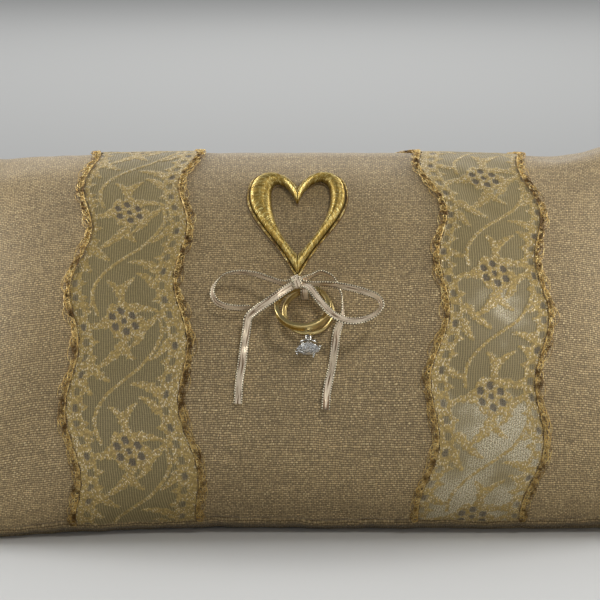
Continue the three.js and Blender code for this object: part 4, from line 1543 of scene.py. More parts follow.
    def _finish(self, side: Side, moved: Array) -> Array:
        """Puts the movement on the fine grid, calm where it has to be, and adds the seam puckers.

        Args:
            side: the panel.
            moved: how far each place of the coarse grid moved.

        Returns:
            The movement on the fine grid.
        """
        u, v = self._flat(self.fine_columns, self.fine_rows)
        x = (u / self.shape.flat_width + 0.5) * self.columns
        y = (v / self.shape.flat_height + 0.5) * self.rows
        place = self.shape.point(u, v, side)
        normal = unit(np.cross(np.gradient(place, axis=1), np.gradient(place, axis=0))) * side.value
        swell = np.sum(spline_sample(moved, x, y) * normal, axis=-1)
        along_gap = self.shape.flat_height / 2 - np.abs(v)
        end_gap = self.shape.flat_width / 2 - np.abs(u)
        gap = np.minimum(along_gap, end_gap)
        wrinkle = (swell - blurred(swell, self.broad)) * smooth(gap / self.seam_over)
        fine = normal * (wrinkle * self.calm(u, v))[..., None]
        ripple = np.zeros_like(u)
        for gap, run, turn in ((along_gap, u, 0.0), (end_gap, v, 1.7)):
            run = run / MM + turn * np.sign(v if gap is along_gap else u) * 9
            wave = (np.sin(run / 2.3 + 1.3 * np.sin(run / 17)) + 0.8 * np.sin(run / 1.37 + 2.1)
                    + 0.7 * np.sin(run / 3.9 + 0.6 * side.value))
            ripple += wave * np.exp(-gap / self.pucker_over) * (1 - np.exp(-gap / (1.5 * MM)))
        fine += normal * (ripple * self.pucker / 2)[..., None] * self.calm(u, v)[..., None]
        run = u / MM
        sway = (np.sin(run / 9.7 + 0.8) + 0.6 * np.sin(run / 4.1) + 0.7 * np.sin(run / 17)) * self.sway
        fine[..., 2] += sway * np.exp(-along_gap / self.sway_over) * np.sign(v)
        return fine


@dataclass
class Cushion:
    """The stuffed cover, its insert and its fibre."""

    surface: Surface
    wardrobe: Wardrobe
    columns: int = 190
    rows: int = 150
    crowd: float = 1.38
    groove: float = 1.15 * MM
    groove_width: float = 0.8 * MM
    welt: float = 0.35 * MM
    welt_at: float = 2.6 * MM
    back_cloth: float = 0.5
    insert_inset: float = 2.4 * MM
    fill_inset: float = 3.4 * MM
    fill: float = 0.8

    def _shell(self, name: str, columns: int, rows: int, inset: float, sewn: bool) -> Object:
        """A closed cushion shell with its flat cut as UV map.

        Args:
            name: the object's name.
            columns: cells across.
            rows: cells up.
            inset: how far inside the cover's face.
            sewn: presses the seam's groove into it.

        Returns:
            The object.
        """
        shape = self.surface.shape
        halves = ((columns, shape.flat_width / 2), (rows, shape.flat_height / 2))
        u, v = np.meshgrid(*(half * np.sin(np.linspace(-1, 1, count + 1) * self.crowd) / math.sin(self.crowd)
                             for count, half in halves))
        batch = Batch()
        for side in Side:
            points = self.surface.point(u, v, side, inset)
            uv = np.stack([u + (self.back_cloth if side is Side.BACK else 0), v], axis=-1)
            batch.grid(points, uv)
        obj = batch.build(name)
        if sewn:
            self._press_seam(obj)
        return obj

    def _press_seam(self, obj: Object) -> None:
        """Draws the cloth in along the seam, and lets it swell a little beside it.

        Args:
            obj: the cover.
        """
        mesh = obj.data
        count = len(mesh.vertices)
        co, no = np.zeros(count * 3), np.zeros(count * 3)
        mesh.vertices.foreach_get("co", co)
        mesh.vertices.foreach_get("normal", no)
        co, no = co.reshape(-1, 3), no.reshape(-1, 3)
        flat = np.zeros((count, 2))
        loops = np.zeros(len(mesh.loops), int)
        mesh.loops.foreach_get("vertex_index", loops)
        uv = np.zeros(len(mesh.loops) * 2)
        mesh.uv_layers[0].data.foreach_get("uv", uv)
        flat[loops] = uv.reshape(-1, 2)
        shape = self.surface.shape
        u = np.where(flat[:, 0] > shape.flat_width / 2 + 1e-6, flat[:, 0] - self.back_cloth, flat[:, 0])
        gap = np.minimum(shape.flat_width / 2 - np.abs(u), shape.flat_height / 2 - np.abs(flat[:, 1]))
        ditch = -self.groove * np.exp(-((gap / self.groove_width) ** 2))
        swell = self.welt * np.exp(-(((gap - self.welt_at) / self.welt_at * 1.6) ** 2))
        co += no * (ditch + swell)[:, None]
        co[:, 2] = np.maximum(co[:, 2], 0)
        mesh.vertices.foreach_set("co", co.ravel())
        mesh.update()

    def build(self) -> None:
        """Makes the cover, the insert and the fill."""
        look, shape = self.wardrobe, (self.columns, self.rows)
        shells = (("cover", *shape, 0.0, look.linen, ("cover_front", "cover_back")),
                  ("pillow_insert", 60, 40, self.insert_inset, look.muslin, ("insert_front", "insert_back")),
                  ("fibre_fill", 48, 32, self.fill_inset, look.fibre, ("fiberfill",)))
        for name, columns, rows, inset, finish, nodes in shells:
            shell = self._shell(name, columns, rows, inset, name == "cover")
            complete(shell, finish, "pillow", *nodes)
        for node in ("seam_thread", "closing_thread"):
            dress(frame["nodes"][node], self.wardrobe.thread)


# ---- lace ----


@dataclass
class LaceBand:
    """A band of scalloped lace down the front, with looped edging along both sides."""

    surface: Surface
    finish: Finish
    gimp: Finish
    hand: Hand
    at: float
    bow: float
    phase: float
    flower_shift: tuple[float, float]
    width: float = 38.6 * MM
    gap: float = 0.45 * MM
    seam_in: float = 1.2 * MM
    period: float = 49 * MM
    wave: float = 2.2 * MM
    cell: float = 0.5 * MM
    thick: float = 0.2 * MM
    motif_rise: float = 0.16 * MM
    eyelet_r: float = 1.35 * MM
    eyelet_ring: float = 4.1 * MM
    ladder_at: float = 15.9 * MM
    ladder_pitch: float = 6.1 * MM
    scallop: float = 0.5 * MM
    edging_r: float = 0.6 * MM
    strands: tuple = (
        (1.9, 1.8, 0.0, 0.17), (-2.3, 1.4, 1.9, 0.17), (3.1, 0.9, 4.0, 0.22), (-2.9, 2.3, 2.7, 0.12))
    fit_gap: float = 0.3 * MM
    edge_moves: dict[Hand, tuple] = field(default_factory=dict)
    stem: tuple = ((12.9, 1.2), (12.4, -5.8), (9.6, -11.8), (5.3, -18.6), (0.5, -23.3), (-3.8, -27.6),
                   (-6.8, -32.4), (-8.6, -37.3), (-8.9, -41.5), (-8.6, -45.8))
    leaves: tuple = (
        ((-4, -1), (-9, -0.6), (-14.4, -2.4), 1.5), ((2, 5), (8, 6), (14, 3), 1.5),
        ((1, 5), (1.8, 9), (1.2, 13), 1.2), ((1.4, 11), (0.4, 14.6), (-2.8, 16.6), 1.0),
        ((1.2, 11), (3.4, 15.2), (6.6, 17.4), 1.2), ((14.4, 21), (9.5, 24.8), (3.9, 24.6), 1.4),
        ((13.8, 14.5), (11.6, 18.4), (7.6, 19.6), 1.1), ((0, -5), (-1.6, -8), (-2.4, -12), 1.5),
        ((-2, -10), (0.2, -13.6), (3, -15), 1.1), ((-2, -10), (-5.2, -14.6), (-10.6, -18.4), 1.6),
        ((-13.4, -15), (-9.6, -20.2), (-4.2, -22.8), 1.3), ((-14.4, -21), (-12.6, -25), (-9.4, -27.6), 1.1),
        ((4, -3), (8.4, -2.6), (12.6, 2), 1.4), ((5, -4), (4.6, -7.6), (1, -10.4), 1.3),
        ((14.2, -9), (11.8, -13.6), (8.8, -15.4), 1.0), ((-14.4, 9), (-11.4, 6.6), (-8.6, 7.2), 1.0))

    def shifted(self, sign: int, v: Array) -> Array:
        """How far the edge on one side stands from the band's even outline.

        Args:
            sign: -1 for the left edge, 1 for the right.
            v: heights on the flat cloth.

        Returns:
            The lengths, to the right.
        """
        heights, moves = self.edge_moves[Hand(sign)]
        return np.interp(v, np.array(heights) * MM, np.array(moves) * MM)

    def centre(self, v: Array) -> Array:
        """How far across the band's middle line is at a height.

        Args:
            v: heights on the flat cloth.

        Returns:
            Places across it.
        """
        half = self.surface.shape.flat_height / 2
        bowed = self.at + self.bow * (1 - (v / half) ** 2)
        return bowed + self.wave * np.cos(2 * math.pi * (v - self.phase) / self.period)

    def _pattern(self, across: Array, v: Array) -> tuple[Array, Array]:
        """The woven motif and the eyelets, each from 0 to 1, at places on the band.

        Args:
            across: places across, from the band's middle line.
            v: heights on the flat cloth.

        Returns:
            The motif and the eyelets.
        """
        offset, above = self.flower_shift
        unit_v = (v - self.phase - above + self.period / 2) % self.period - self.period / 2
        motif, hole = np.zeros_like(v), np.zeros_like(v)
        soft = 0.3 * MM
        jitter = 0.3 * MM * np.sin(across / MM * 5.3 + 2 * np.sin(v / MM * 2.1)) * np.sin(v / MM * 4.9 + 1.1)
        for shift in (0.0, -1.0, 1.0):
            x = across - offset + jitter
            y = unit_v - shift * self.period + jitter
            place = np.stack([x, y], axis=-1)
            angle = np.arctan2(y, x)
            reach = np.hypot(x, y)
            petals = 6.9 * MM + 0.75 * MM * np.cos(6 * angle + 0.5) + 0.3 * MM * np.sin(11 * angle)
            motif = np.maximum(motif, smooth((petals - reach) / soft * 0.5 + 0.5))
            for a, b, c, wide in self.leaves:
                t = np.linspace(0, 1, 7)[:, None]
                line = ((1 - t) ** 2 * a + 2 * t * (1 - t) * np.array(b) + t**2 * np.array(c)) * MM
                gap, along = to_polyline(place, line)
                half = wide * MM * (1 - along**1.5) * (1 + 0.25 * np.sin(along * 22)) + 0.5 * MM
                motif = np.maximum(motif, smooth((half - gap) / soft * 0.5 + 0.5))
            gap, _ = to_polyline(place, np.array(self.stem) * MM)
            motif = np.maximum(motif, smooth((0.65 * MM - gap) / soft * 0.5 + 0.5))
            for k in range(7):
                turn = math.radians(30 + 60 * k)
                far = self.eyelet_ring if k < 6 else 0
                cx, cy = far * math.cos(turn), far * math.sin(turn)
                size = self.eyelet_r * (1.0 if k < 6 else 0.8)
                ring = np.hypot((x - cx) * 1.12, (y - cy) * 0.9)
                hole = np.maximum(hole, smooth((size - ring) / soft * 0.5 + 0.5))
        self._borders(across, v, jitter, soft, motif, hole)
        return np.maximum(motif, 0) * (1 - hole), hole

    def _borders(self, across: Array, v: Array, jitter: Array, soft: float, motif: Array,
                 hole: Array) -> None:
        """Adds the border along both edges: an inner line with teeth, and a ladder of eyelets.

        Args:
            across: places across, from the band's middle line.
            v: heights on the flat cloth.
            jitter: unevenness of the places.
            soft: the softness of every edge.
            motif: the motif, added to in place.
            hole: the eyelets, added to in place.
        """
        for sign in (-1, 1):
            x = across * sign + jitter
            run = (v + sign * 1.4 * MM) % self.ladder_pitch - self.ladder_pitch / 2
            inner = smooth((0.6 * MM - np.abs(x - 14.0 * MM)) / soft * 0.5 + 0.5)
            outer = smooth((x - 16.7 * MM) / soft * 0.5 + 0.5)
            tooth = 13.4 * MM - 2.4 * MM * np.maximum(1 - np.abs(run) / (1.5 * MM), 0)
            teeth = smooth((x - tooth) / soft * 0.5 + 0.5) * (x < 14.2 * MM)
            bars = smooth((np.abs(run) - 1.5 * MM) / soft * 0.5 + 0.5) * (x > 14.0 * MM)
            np.maximum(motif, np.maximum(np.maximum(inner, outer), np.maximum(teeth, bars)), out=motif)
            ring = np.hypot((x - self.ladder_at) * 1.25, run * 0.8)
            rung = np.floor((v + sign * 1.4 * MM) / self.ladder_pitch)
            open_share = 0.45 + 0.4 * np.sin(rung * 2.4 + sign)
            np.maximum(hole, smooth((1.15 * MM - ring) / soft * 0.5 + 0.5) * open_share, out=hole)

    def sheet(self) -> None:
        """The band itself, with its motifs raised and its eyelets sunk."""
        reach = self.surface.shape.flat_height / 2 - self.seam_in
        rows, columns = int(2 * reach / self.cell), int(self.width / self.cell)
        v, share = np.meshgrid(np.linspace(-reach, reach, rows + 1), np.linspace(-0.5, 0.5, columns + 1),
                               indexing="ij")
        nip = self.scallop * np.abs(np.sin(math.pi * v / self.ladder_pitch)) - self.scallop
        left, right = self.shifted(-1, v), self.shifted(1, v)
        across = share * (self.width + 2 * nip) + left * (0.5 - share) + right * (0.5 + share)
        motif, hole = self._pattern(across, v)
        lift = self.gap + self.thick + self.motif_rise * (motif - 0.8 * hole)
        points = self.surface.lifted(self.centre(v) + across, v, lift)
        batch = Batch()
        woven = across + self.wave * np.cos(2 * math.pi * (v - self.phase) / self.period)
        batch.grid(points, np.stack([woven, v], axis=-1))
        obj = batch.build(f"lace_band_{self.hand.name.lower()}")
        for name, values in (("motif", motif), ("hole", hole)):
            layer = obj.data.attributes.new(name, "FLOAT", "POINT")
            layer.data.foreach_set("value", values.ravel().astype(np.float32))
        complete(obj, self.finish, "pillow", f"lace_{self.hand.name.lower()}")

    def _loops(self, sign: int, v: Array, pitch: float, size: float, turn: float) -> Array:
        """A strand that loops along an edge.

        Args:
            sign: -1 for the left edge, 1 for the right.
            v: heights on the flat cloth.
            pitch: from loop to loop.
            size: how far a loop reaches out.
            turn: where in a loop it starts.

        Returns:
            The strand's places.
        """
        phase = 2 * math.pi * v / pitch + turn
        uneven = 1 + 0.35 * np.sin(v / MM / 2.3 + turn * 3) + 0.25 * np.sin(v / MM / 1.1 + turn)
        reach = self.width / 2 + self.fit_gap + self.edging_r - 0.6 * MM
        along = v + size * 0.9 * uneven * np.sin(phase)
        out = reach + size * uneven * (1 - np.cos(phase)) * 0.5
        lift = self.gap + self.edging_r * (1.0 + 0.5 * np.sin(phase * 0.5 + turn))
        limit = self.surface.shape.flat_height / 2 - self.seam_in * 0.5
        along = np.clip(along, -limit, limit)
        across = self.centre(along) + sign * out + self.shifted(sign, along)
        return self.surface.lifted(across, along, lift)

    def edging(self, side: Hand) -> None:
        """The looped gimp along one edge.

        Args:
            side: the edge.
        """
        reach = self.surface.shape.flat_height / 2 - self.seam_in
        batch = Batch()
        for pitch, size, turn, radius in self.strands:
            pitch, size, radius = pitch * MM, size * MM, radius * MM
            steps = int(2 * reach / (abs(pitch) / 16))
            v = np.linspace(-reach, reach, steps + 1)
            path = self._loops(side.value, v, pitch, size, turn)
            edge = self.centre(v) + side.value * self.width / 2 + self.shifted(side.value, v)
            _, _, _, out = self.surface.frame(edge, v)
            sides, ups = path_frames(path, out)
            batch.sweep(path, sides, ups, round_section(radius, 6))
        obj = batch.build(f"lace_{self.hand.name.lower()}_gimp_{side.name.lower()}")
        complete(obj, self.gimp, "pillow", f"lace_{self.hand.name.lower()}_edging_{side.name.lower()}")

    def build(self) -> None:
        """Makes the band and its two edgings."""
        self.sheet()
        for side in Hand:
            self.edging(side)


# ---- emblem ----


@dataclass
class Emblem:
    """An open heart in padded satin stitch, thick on the left and thin on the right."""

    surface: Surface
    wardrobe: Wardrobe
    middle: tuple[float, float] = (-3.5 * MM, 25.5 * MM)
    width: float = 34 * MM
    height: float = 52 * MM
    stroke: dict = field(default_factory=lambda: {Hand.LEFT: 7.4 * MM, Hand.RIGHT: 5.0 * MM})
    stroke_tip: float = 6.0 * MM
    seat: float = 1.1 * MM
    rise: float = 2.4 * MM
    skin: float = 0.7 * MM
    halves_gap: float = 0.3 * MM
    outline_r: float = 0.42 * MM
    stitch_pitch: float = 0.4 * MM
    stitch_r: float = 0.22 * MM
    cord_from: float = 0.035
    cord_to: float = 0.985
    cord_mitre: float = 2.0
    cord_steps: int = 900
    cord_turns: int = 90
    ply_at: float = 0.48
    ply_r: float = 0.56
    stitch_slant: float = 0.012
    stitch_wander: float = 0.0004
    stitch_sway: float = 0.0006
    seed: int = 7

    def _half(self, stroke: float) -> Array:
        """Half the heart's outline from the dip to the tip, at even steps.

        Args:
            stroke: how far inside the outer edge the outline runs.

        Returns:
            Points on the flat.
        """
        w, h = self.width / 2, self.height / 2
        tip = self.stroke_tip if stroke else 0
        side, top = w - stroke, h - stroke * 0.9
        first = [(0, 0.55 * h - tip * 1.1), (0.22 * w, top + 0.06 * h), (side, top + 0.16 * h),
                 (side, 0.42 * h)]
        second = [first[3], (side, -0.05 * h), (0.34 * w, -0.45 * h), (0, -h + tip * 1.35)]
        t = np.linspace(0, 1, 160)[:, None]
        curves = [(1 - t) ** 3 * np.array(p[0]) + 3 * t * (1 - t) ** 2 * np.array(p[1])
                  + 3 * t**2 * (1 - t) * np.array(p[2]) + t**3 * np.array(p[3]) for p in (first, second)]
        return np.concatenate([curves[0][:-1], curves[1]])

    def _at(self, line: Array, share: Array) -> Array:
        """Points on a line at shares of its length.

        Args:
            line: the line's corners.
            share: shares, from 0 to 1.

        Returns:
            The points.
        """
        run = np.concatenate([[0], np.cumsum(np.linalg.norm(np.diff(line, axis=0), axis=1))])
        return np.stack([np.interp(share * run[-1], run, line[:, k]) for k in range(2)], axis=-1)

    def _place(self, hand: Hand, flat: Array, lift: Array) -> Array:
        """Carries flat points of one half onto the cushion.

        Args:
            hand: the half.
            flat: points from the heart's middle.
            lift: the height off the face.

        Returns:
            Points on the cushion.
        """
        u = self.middle[0] + hand.value * (flat[..., 0] + self.halves_gap / 2)
        return self.surface.lifted(u, self.middle[1] + flat[..., 1], lift)

    def _stroke(self, hand: Hand, s: Array, k: Array, more: float) -> Array:
        """Places on the padded stroke: s along it, k across it.

        Args:
            hand: the half.
            s: along it, from 0 to 1.
            k: across it, from the inner edge to the outer.
            more: height above the padding.

        Returns:
            The places.
        """
        outer = self._at(self._half(0), s)
        inner = self._at(self._half(self.stroke[hand]), s)
        flat = inner + (outer - inner) * k[..., None]
        arch = np.maximum(np.sin(math.pi * k), 0) ** 0.7
        return self._place(hand, flat, self.seat + more + self.rise * arch)

    def satin(self, hand: Hand) -> None:
        """One half of the heart: a padded core under a row of satin stitches.

        Args:
            hand: the half.
        """
        batch = Batch()
        s, k = np.meshgrid(np.linspace(0, 1, 90), np.linspace(0, 1, 13), indexing="ij")
        top = self._stroke(hand, s, k, self.skin - self.stitch_r)
        low = self._stroke(hand, s, k * 0, 0)[:, :1]
        high = self._stroke(hand, s, k * 0 + 1, 0)[:, :1]
        ring = np.concatenate([low, top, high], axis=1)
        uv = np.stack([s, k], axis=-1)
        uv = np.concatenate([uv[:, :1], uv, uv[:, -1:]], axis=1)
        batch.grid(ring, uv)
        length = np.linalg.norm(np.diff(self._half(0), axis=0), axis=1).sum()
        count = int(length / self.stitch_pitch)
        chance = np.random.default_rng(self.seed + hand.value)
        across = np.linspace(-0.02, 1.02, 13)
        for number in range(count):
            along = (number + 0.5) / count + chance.normal(0, self.stitch_wander)
            lean = self.stitch_slant * (across - 0.5) + chance.normal(0, self.stitch_sway) * across
            share = np.clip(along + lean, 0.001, 0.999)
            more = self.skin - self.stitch_r * 0.4 + chance.uniform(-0.05, 0.08) * MM
            path = self._stroke(hand, share, np.clip(across, 0, 1), more)
            sunk = self._stroke(hand, share[[0, -1]], np.array([0.0, 1.0]), 0.05 * MM)
            path = np.concatenate([sunk[:1], path[1:-1], sunk[1:]])
            guide = self.surface.frame(np.array(self.middle[0]), np.array(self.middle[1]))[3]
            sides, ups = path_frames(path, np.broadcast_to(guide, path.shape))
            batch.sweep(path, sides, ups, round_section(self.stitch_r, 6), number=number + 1)
        obj = batch.build(f"heart_satin_{hand.name.lower()}")
        complete(obj, self.wardrobe.satin, "pillow", f"emblem_satin_{hand.name.lower()}")

    def outline(self) -> None:
        """A two-ply cord laid round the heart."""
        away = self.halves_gap + self.outline_r
        half = self._half(0)
        shares = np.linspace(self.cord_from, self.cord_to, 120)
        flat = self._at(half, shares)
        along = unit(np.gradient(flat, axis=0))
        route = flat + np.stack([-along[:, 1], along[:, 0]], axis=-1) * away
        route[:, 0] += self.halves_gap / 2
        dip, tip = half[0, 1] + self.cord_mitre * away, half[-1, 1] - self.cord_mitre * away
        whole = np.concatenate([[(0, dip)], route, [(0, tip)], route[::-1] * [-1, 1]])
        closed = np.concatenate([whole, whole[:1]])
        steps = self.cord_steps
        even = self._at(closed, np.arange(steps) / steps)
        u, v = self.middle[0] + even[:, 0], self.middle[1] + even[:, 1]
        line = self.surface.lifted(u, v, np.full(steps, self.seat + self.outline_r))
        out = self.surface.frame(u, v)[3]
        sides, ups = path_frames(line, out, closed=True)
        batch = Batch()
        for ply in (0, math.pi):
            angle = 2 * math.pi * self.cord_turns * np.arange(steps) / steps + ply
            radius = self.outline_r * self.ply_at
            path = line + (sides * np.cos(angle)[:, None] + ups * np.sin(angle)[:, None]) * radius
            s2, u2 = path_frames(path, out, closed=True)
            batch.sweep(path, s2, u2, round_section(self.outline_r * self.ply_r, 6), closed=True)
        obj = batch.build("heart_outline_cord")
        complete(obj, self.wardrobe.outline, "pillow", "emblem_outline_cord")

    def build(self) -> None:
        """Makes both halves and the outline, and dresses the felt."""
        for hand in Hand:
            self.satin(hand)
        self.outline()
        for node in ("emblem_backing", "emblem_padding_left", "emblem_padding_right"):
            dress(frame["nodes"][node], self.wardrobe.felt)


# ---- rings ----


@dataclass
class Ring:
    """A ring that hangs from a hinge; its own axes are across, up the face and out of it."""

    wardrobe: Wardrobe
    joint: str

    @cached_property
    def _joint(self) -> dict:
        """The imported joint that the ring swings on."""
        return next(j for j in frame["joints"] if j["name"] == self.joint)

    @property
    def body(self) -> str:
        """The body that the ring rides on."""
        return self._joint["child"]

    def matrix(self, drop: float) -> Matrix:
        """The ring's frame, with its centre a length below the hinge.

        Args:
            drop: the length.

        Returns:
            The frame, as a matrix.
        """
        out = Vector(self._joint["axis"]).normalized()
        across = Vector((1, 0, 0))
        upward = out.cross(across).normalized()
        turn = Matrix((across, upward, out)).transposed().to_4x4()
        place = Vector(self._joint["pos_m"]) - upward * drop
        return Matrix.Translation(place) @ turn


@dataclass
class WeddingBand(Ring):
    """A gold band with a channel of square stones."""

    joint: str = "wedding_band_swing"
    inner_r: float = 8.5 * MM
    wall: float = 1.7 * MM
    width: float = 3.2 * MM
    stones: int = 7
    stone: float = 1.62 * MM
    stone_deep: float = 0.85 * MM
    start: float = math.radians(-79)
    pitch: float = math.radians(10.4)
    channel: float = 2.0 * MM
    soften: float = 0.45 * MM

    def _lathe(self, name: str, radius: float, wall: float, width: float, soften: float,
               start: float, sweep: float, steps: int) -> Object:
        """Spins a rounded rectangle round the ring's axis.

        Args:
            name: the object's name.
            radius: the rectangle's middle radius.
            wall: its size along the radius.
            width: its size along the axis.
            soften: the rounding of its corners.
            start: the angle that it starts at.
            sweep: the angle that it turns through.
            steps: the steps of the turn.

        Returns:
            The object, closed.
        """
        pick_nothing()
        bpy.ops.mesh.primitive_plane_add(size=1, location=(radius, 0, 0), rotation=(math.pi / 2, 0, 0))
        obj = added(name)
        obj.scale = (wall, width, 1)
        bpy.ops.object.transform_apply(location=True, rotation=True, scale=True)
        with editing(obj):
            bpy.ops.mesh.select_all(action="SELECT")
            if soften:
                bpy.ops.mesh.bevel(offset=soften, segments=5, affect="VERTICES")
            whole = sweep >= 2 * math.pi - 1e-6
            if whole:
                bpy.ops.mesh.delete(type="ONLY_FACE")
                bpy.ops.mesh.select_all(action="SELECT")
            bpy.ops.mesh.spin(steps=steps, angle=sweep, center=(0, 0, 0), axis=(0, 0, 1))
            close_up()
        obj.data.transform(Matrix.Rotation(start, 4, "Z"))
        return obj

    def build(self) -> None:
        """Makes the band and its stones."""
        outer = self.inner_r + self.wall
        middle = self.inner_r + self.wall / 2
        band = self._lathe("wedding_band_gold", middle, self.wall, self.width, self.soften, 0,
                           2 * math.pi, 180)
        deep = self.stone_deep + 0.3 * MM
        cutter = self._lathe("channel_cutter", outer - deep + 1.0 * MM, 2 * MM, self.channel, 0,
                             self.start - self.pitch * 0.62, self.pitch * (self.stones + 0.24), 40)
        modify(band, "BOOLEAN", operation="DIFFERENCE", object=cutter, solver="EXACT")
        bpy.data.objects.remove(cutter)
        modify(band, "BEVEL", width=0.07 * MM, segments=2, limit_method="ANGLE", angle_limit=math.radians(45))
        smooth_shade(band, math.radians(40))
        settle(band, self.matrix(middle))
        complete(band, self.wardrobe.yellow_gold, self.body, "wedding_band")
        for number in range(self.stones):
            self._stone(number, outer - 0.12 * MM, middle)

    def _stone(self, number: int, top: float, drop: float) -> None:
        """One square stone, stepped like a princess cut, set in the channel.

        Args:
            number: which stone, counted from 0.
            top: the radius of the stone's face.
            drop: from the hinge to the ring's centre.
        """
        pick_nothing()
        bpy.ops.mesh.primitive_cube_add(size=1, location=(0, 0, 0))
        obj = added(f"channel_stone_{number + 1}_cut")
        obj.scale = (self.stone, self.stone, self.stone_deep * 0.4)
        bpy.ops.object.transform_apply(location=False, rotation=False, scale=True)
        with editing(obj):
            bpy.ops.mesh.select_mode(type="FACE")
            for sign, insets in ((1, ((0.14, 0.11), (0.22, 0.06))), (-1, ((0.2, 0.2), (0.3, 0.22)))):
                bpy.ops.mesh.select_all(action="DESELECT")
                bpy.ops.object.mode_set(mode="OBJECT")
                for face in obj.data.polygons:
                    face.select = face.normal.z * sign > 0.9
                bpy.ops.object.mode_set(mode="EDIT")
                for inset, rise in insets:
                    bpy.ops.mesh.inset(thickness=inset * MM, depth=rise * MM)
        obj.data.transform(Matrix.Rotation(math.radians(90), 4, "Y"))
        obj.data.transform(Matrix.Translation((top - 0.26 * MM, 0, 0)))
        obj.data.transform(Matrix.Rotation(self.start + number * self.pitch, 4, "Z"))
        settle(obj, self.matrix(drop))
        complete(obj, self.wardrobe.small_gem, self.body, f"channel_stone_{number + 1}")


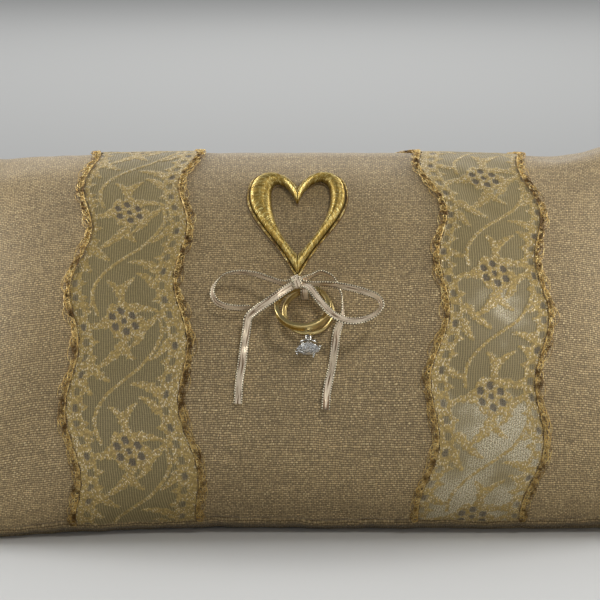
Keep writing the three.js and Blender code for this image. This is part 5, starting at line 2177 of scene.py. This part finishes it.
@dataclass
class EngagementRing(Ring):
    """A round-wire ring with a four-prong head and a brilliant stone that hangs lowest."""

    joint: str = "engagement_ring_swing"
    inner_r: float = 7.7 * MM
    wire_r: float = 0.95 * MM
    fit_gap: float = 0.3 * MM
    collar_r: float = 1.25 * MM
    collar_tall: float = 1.5 * MM
    prong_r: float = 0.42 * MM
    prong_turn: float = math.radians(25)
    collar_soften: float = 0.2 * MM
    claw_in: float = 0.25 * MM
    rail_r: float = 0.24 * MM
    stone_r: float = 4.1 * MM
    crown: float = 1.3 * MM
    pavilion: float = 3.5 * MM
    table: float = 0.58

    def _shank(self, middle: float) -> None:
        """The wire, a little flattened where it meets the finger.

        Args:
            middle: the radius of the wire's middle.
        """
        pick_nothing()
        bpy.ops.mesh.primitive_torus_add(major_segments=160, minor_segments=20, major_radius=middle,
                                         minor_radius=self.wire_r)
        obj = added("engagement_shank_gold")
        with editing(obj):
            bpy.ops.mesh.select_all(action="SELECT")
            bpy.ops.transform.resize(value=(1, 1, 0.94))
        smooth_shade(obj)
        settle(obj, self.matrix(middle))
        complete(obj, self.wardrobe.yellow_gold, self.body, "engagement_shank")

    def _rod(self, start: Vector, end: Vector, radius: float) -> Object:
        """A straight bar with domed ends.

        Args:
            start: one end.
            end: the other end.
            radius: its radius.

        Returns:
            The bar.
        """
        run = end - start
        pick_nothing()
        bpy.ops.mesh.primitive_uv_sphere_add(segments=16, ring_count=12, radius=radius, location=(0, 0, 0))
        rod = added("rod")
        with editing(rod):
            bpy.ops.object.mode_set(mode="OBJECT")
            for point in rod.data.vertices:
                point.select = point.co.z > 1e-7
            bpy.ops.object.mode_set(mode="EDIT")
            bpy.ops.mesh.select_mode(type="VERT")
            bpy.ops.transform.translate(value=(0, 0, run.length))
        rod.data.transform(Matrix.Translation(start) @ run.to_track_quat("Z", "Y").to_matrix().to_4x4())
        return rod

    def _head(self, seat: float, girdle: float, middle: float) -> None:
        """The collar, four prongs with their claws, and the rail that ties them.

        Args:
            seat: from the hinge to the collar's top.
            girdle: from the hinge to the stone's girdle.
            middle: the radius of the wire's middle.
        """
        pick_nothing()
        bpy.ops.mesh.primitive_cylinder_add(vertices=28, radius=self.collar_r, depth=self.collar_tall,
                                            location=(0, -seat - self.collar_tall / 2, 0),
                                            rotation=(math.pi / 2, 0, 0))
        collar = added("collar")
        pick(collar)
        bpy.ops.object.transform_apply(location=True, rotation=True, scale=True)
        modify(collar, "BEVEL", width=self.collar_soften, segments=3, limit_method="ANGLE",
               angle_limit=math.radians(50))
        pieces = [collar]
        grip = self.stone_r + self.fit_gap + self.prong_r * 0.6
        for number in range(4):
            angle = self.prong_turn + number * math.pi / 2
            stops = ((self.collar_r * 0.7, seat + self.collar_tall * 0.4), (grip, girdle),
                     (grip - self.claw_in, girdle + self.crown * 0.75))
            foot, knee, claw = (Vector((radius * math.cos(angle), -down, radius * math.sin(angle)))
                                for radius, down in stops)
            pieces.append(self._rod(foot, knee, self.prong_r))
            pieces.append(self._rod(knee, claw, self.prong_r * 0.9))
        low = seat + self.collar_tall + (girdle - seat - self.collar_tall) * 0.45
        rail = self.collar_r * 0.7 + (grip - self.collar_r * 0.7) * (low - seat) / (girdle - seat)
        pick_nothing()
        bpy.ops.mesh.primitive_torus_add(major_segments=64, minor_segments=12, major_radius=rail,
                                         minor_radius=self.rail_r, location=(0, -low, 0),
                                         rotation=(math.pi / 2, 0, 0))
        rail_piece = added("rail")
        pick(rail_piece)
        bpy.ops.object.transform_apply(location=True, rotation=True, scale=True)
        head = join("engagement_head_basket", *pieces, rail_piece)
        smooth_shade(head, math.radians(45))
        settle(head, self.matrix(middle) @ Matrix.Translation((0, middle, 0)))
        complete(head, self.wardrobe.white_gold, self.body, "engagement_head")

    def _stone(self, culet: float, middle: float) -> None:
        """A round brilliant, cut facet by facet from a drum.

        Args:
            culet: from the hinge to the stone's point.
            middle: the radius of the wire's middle.
        """
        tall = self.crown + self.pavilion
        pick_nothing()
        bpy.ops.mesh.primitive_cylinder_add(vertices=64, radius=self.stone_r, depth=tall,
                                            location=(0, 0, tall / 2))
        obj = added("engagement_stone_brilliant")
        pick(obj)
        bpy.ops.object.transform_apply(location=True, rotation=True, scale=True)
        rim = 0.12 * MM
        crown_slope = math.atan2(self.crown - rim, self.stone_r * (1 - self.table))
        deep_slope = math.atan2(self.pavilion, self.stone_r)
        cuts = []
        for number in range(8):
            turn = number * math.pi / 4
            cuts.append((turn, crown_slope * 0.94, self.pavilion + rim, 1.0))
            star_height = self.pavilion + rim + 0.42 * self.crown
            cuts.append((turn + math.pi / 8, crown_slope * 0.62, star_height, 0.82))
            cuts.append((turn, -deep_slope * 1.0, self.pavilion, 1.0))
            for side in (-1, 1):
                girdle_turn = turn + side * math.pi / 16
                cuts.append((girdle_turn, crown_slope * 1.18, self.pavilion + rim, 1.0))
                cuts.append((girdle_turn, -deep_slope * 1.07, self.pavilion, 1.0))
        with editing(obj):
            for turn, slope, height, share in cuts:
                flat = math.copysign(1, slope)
                normal = (math.sin(abs(slope)) * math.cos(turn), math.sin(abs(slope)) * math.sin(turn),
                          math.cos(slope) * flat)
                point = (self.stone_r * share * math.cos(turn), self.stone_r * share * math.sin(turn), height)
                bpy.ops.mesh.select_all(action="SELECT")
                bpy.ops.mesh.bisect(plane_co=point, plane_no=normal, use_fill=True, clear_outer=True)
            close_up()
        obj.data.transform(Matrix.Rotation(math.pi / 2, 4, "X"))
        settle(obj, self.matrix(middle) @ Matrix.Translation((0, middle - culet, 0)))
        complete(obj, self.wardrobe.gem, self.body, "engagement_stone")

    def build(self) -> None:
        """Makes the shank, the head and the stone."""
        middle = self.inner_r + self.wire_r
        seat = 2 * middle + self.wire_r + self.fit_gap
        culet = seat + self.collar_tall + self.fit_gap
        self._shank(middle)
        self._head(seat, culet + self.pavilion, middle)
        self._stone(culet, middle)


# ---- assembly ----


def main() -> None:
    """Builds every piece in order."""
    logging.basicConfig(level=logging.INFO, format="%(name)s: %(message)s")
    wardrobe = Wardrobe()
    studio = Studio()
    studio.camera()
    surface = Surface()
    bow = Bow(surface, wardrobe.ribbon, wardrobe.thread)
    bow.tails()
    studio.room()
    surface.relief = Stuffing(surface.shape).settle()
    Cushion(surface, wardrobe).build()
    bands = (
        LaceBand(surface, wardrobe.lace_left, wardrobe.gimp, Hand.LEFT, at=-55 * MM, bow=-10.5 * MM,
                 phase=22 * MM, flower_shift=(-1.0 * MM, 8.5 * MM),
                 edge_moves={Hand.LEFT: ((-90, -40, -5, 20, 45, 70, 98), (0, 0.4, 1.8, 4.4, 3.8, 3.0, 4.6)),
                             Hand.RIGHT: ((-90, 0, 60, 98), (1.0, 0.5, -0.8, -1.2))}),
        LaceBand(surface, wardrobe.lace_right, wardrobe.gimp, Hand.RIGHT, at=54 * MM, bow=13 * MM,
                 phase=33 * MM, flower_shift=(1.5 * MM, 17.5 * MM),
                 edge_moves={Hand.LEFT: ((-95, -60, -40, 0, 30, 55, 75, 98),
                                         (3.0, 0.5, 0, 2.0, 2.4, 0, -1.0, -3.5)),
                             Hand.RIGHT: ((-95, -40, 10, 40, 60, 80, 98), (-2, -2, -2, -3, -4, -5.5, -7.5))}),
    )
    for band in bands:
        band.build()
    Emblem(surface, wardrobe).build()
    bow.loops()
    bow.knot()
    bow.hanger()
    WeddingBand(wardrobe).build()
    EngagementRing(wardrobe).build()


if __name__ == "__main__":
    main()
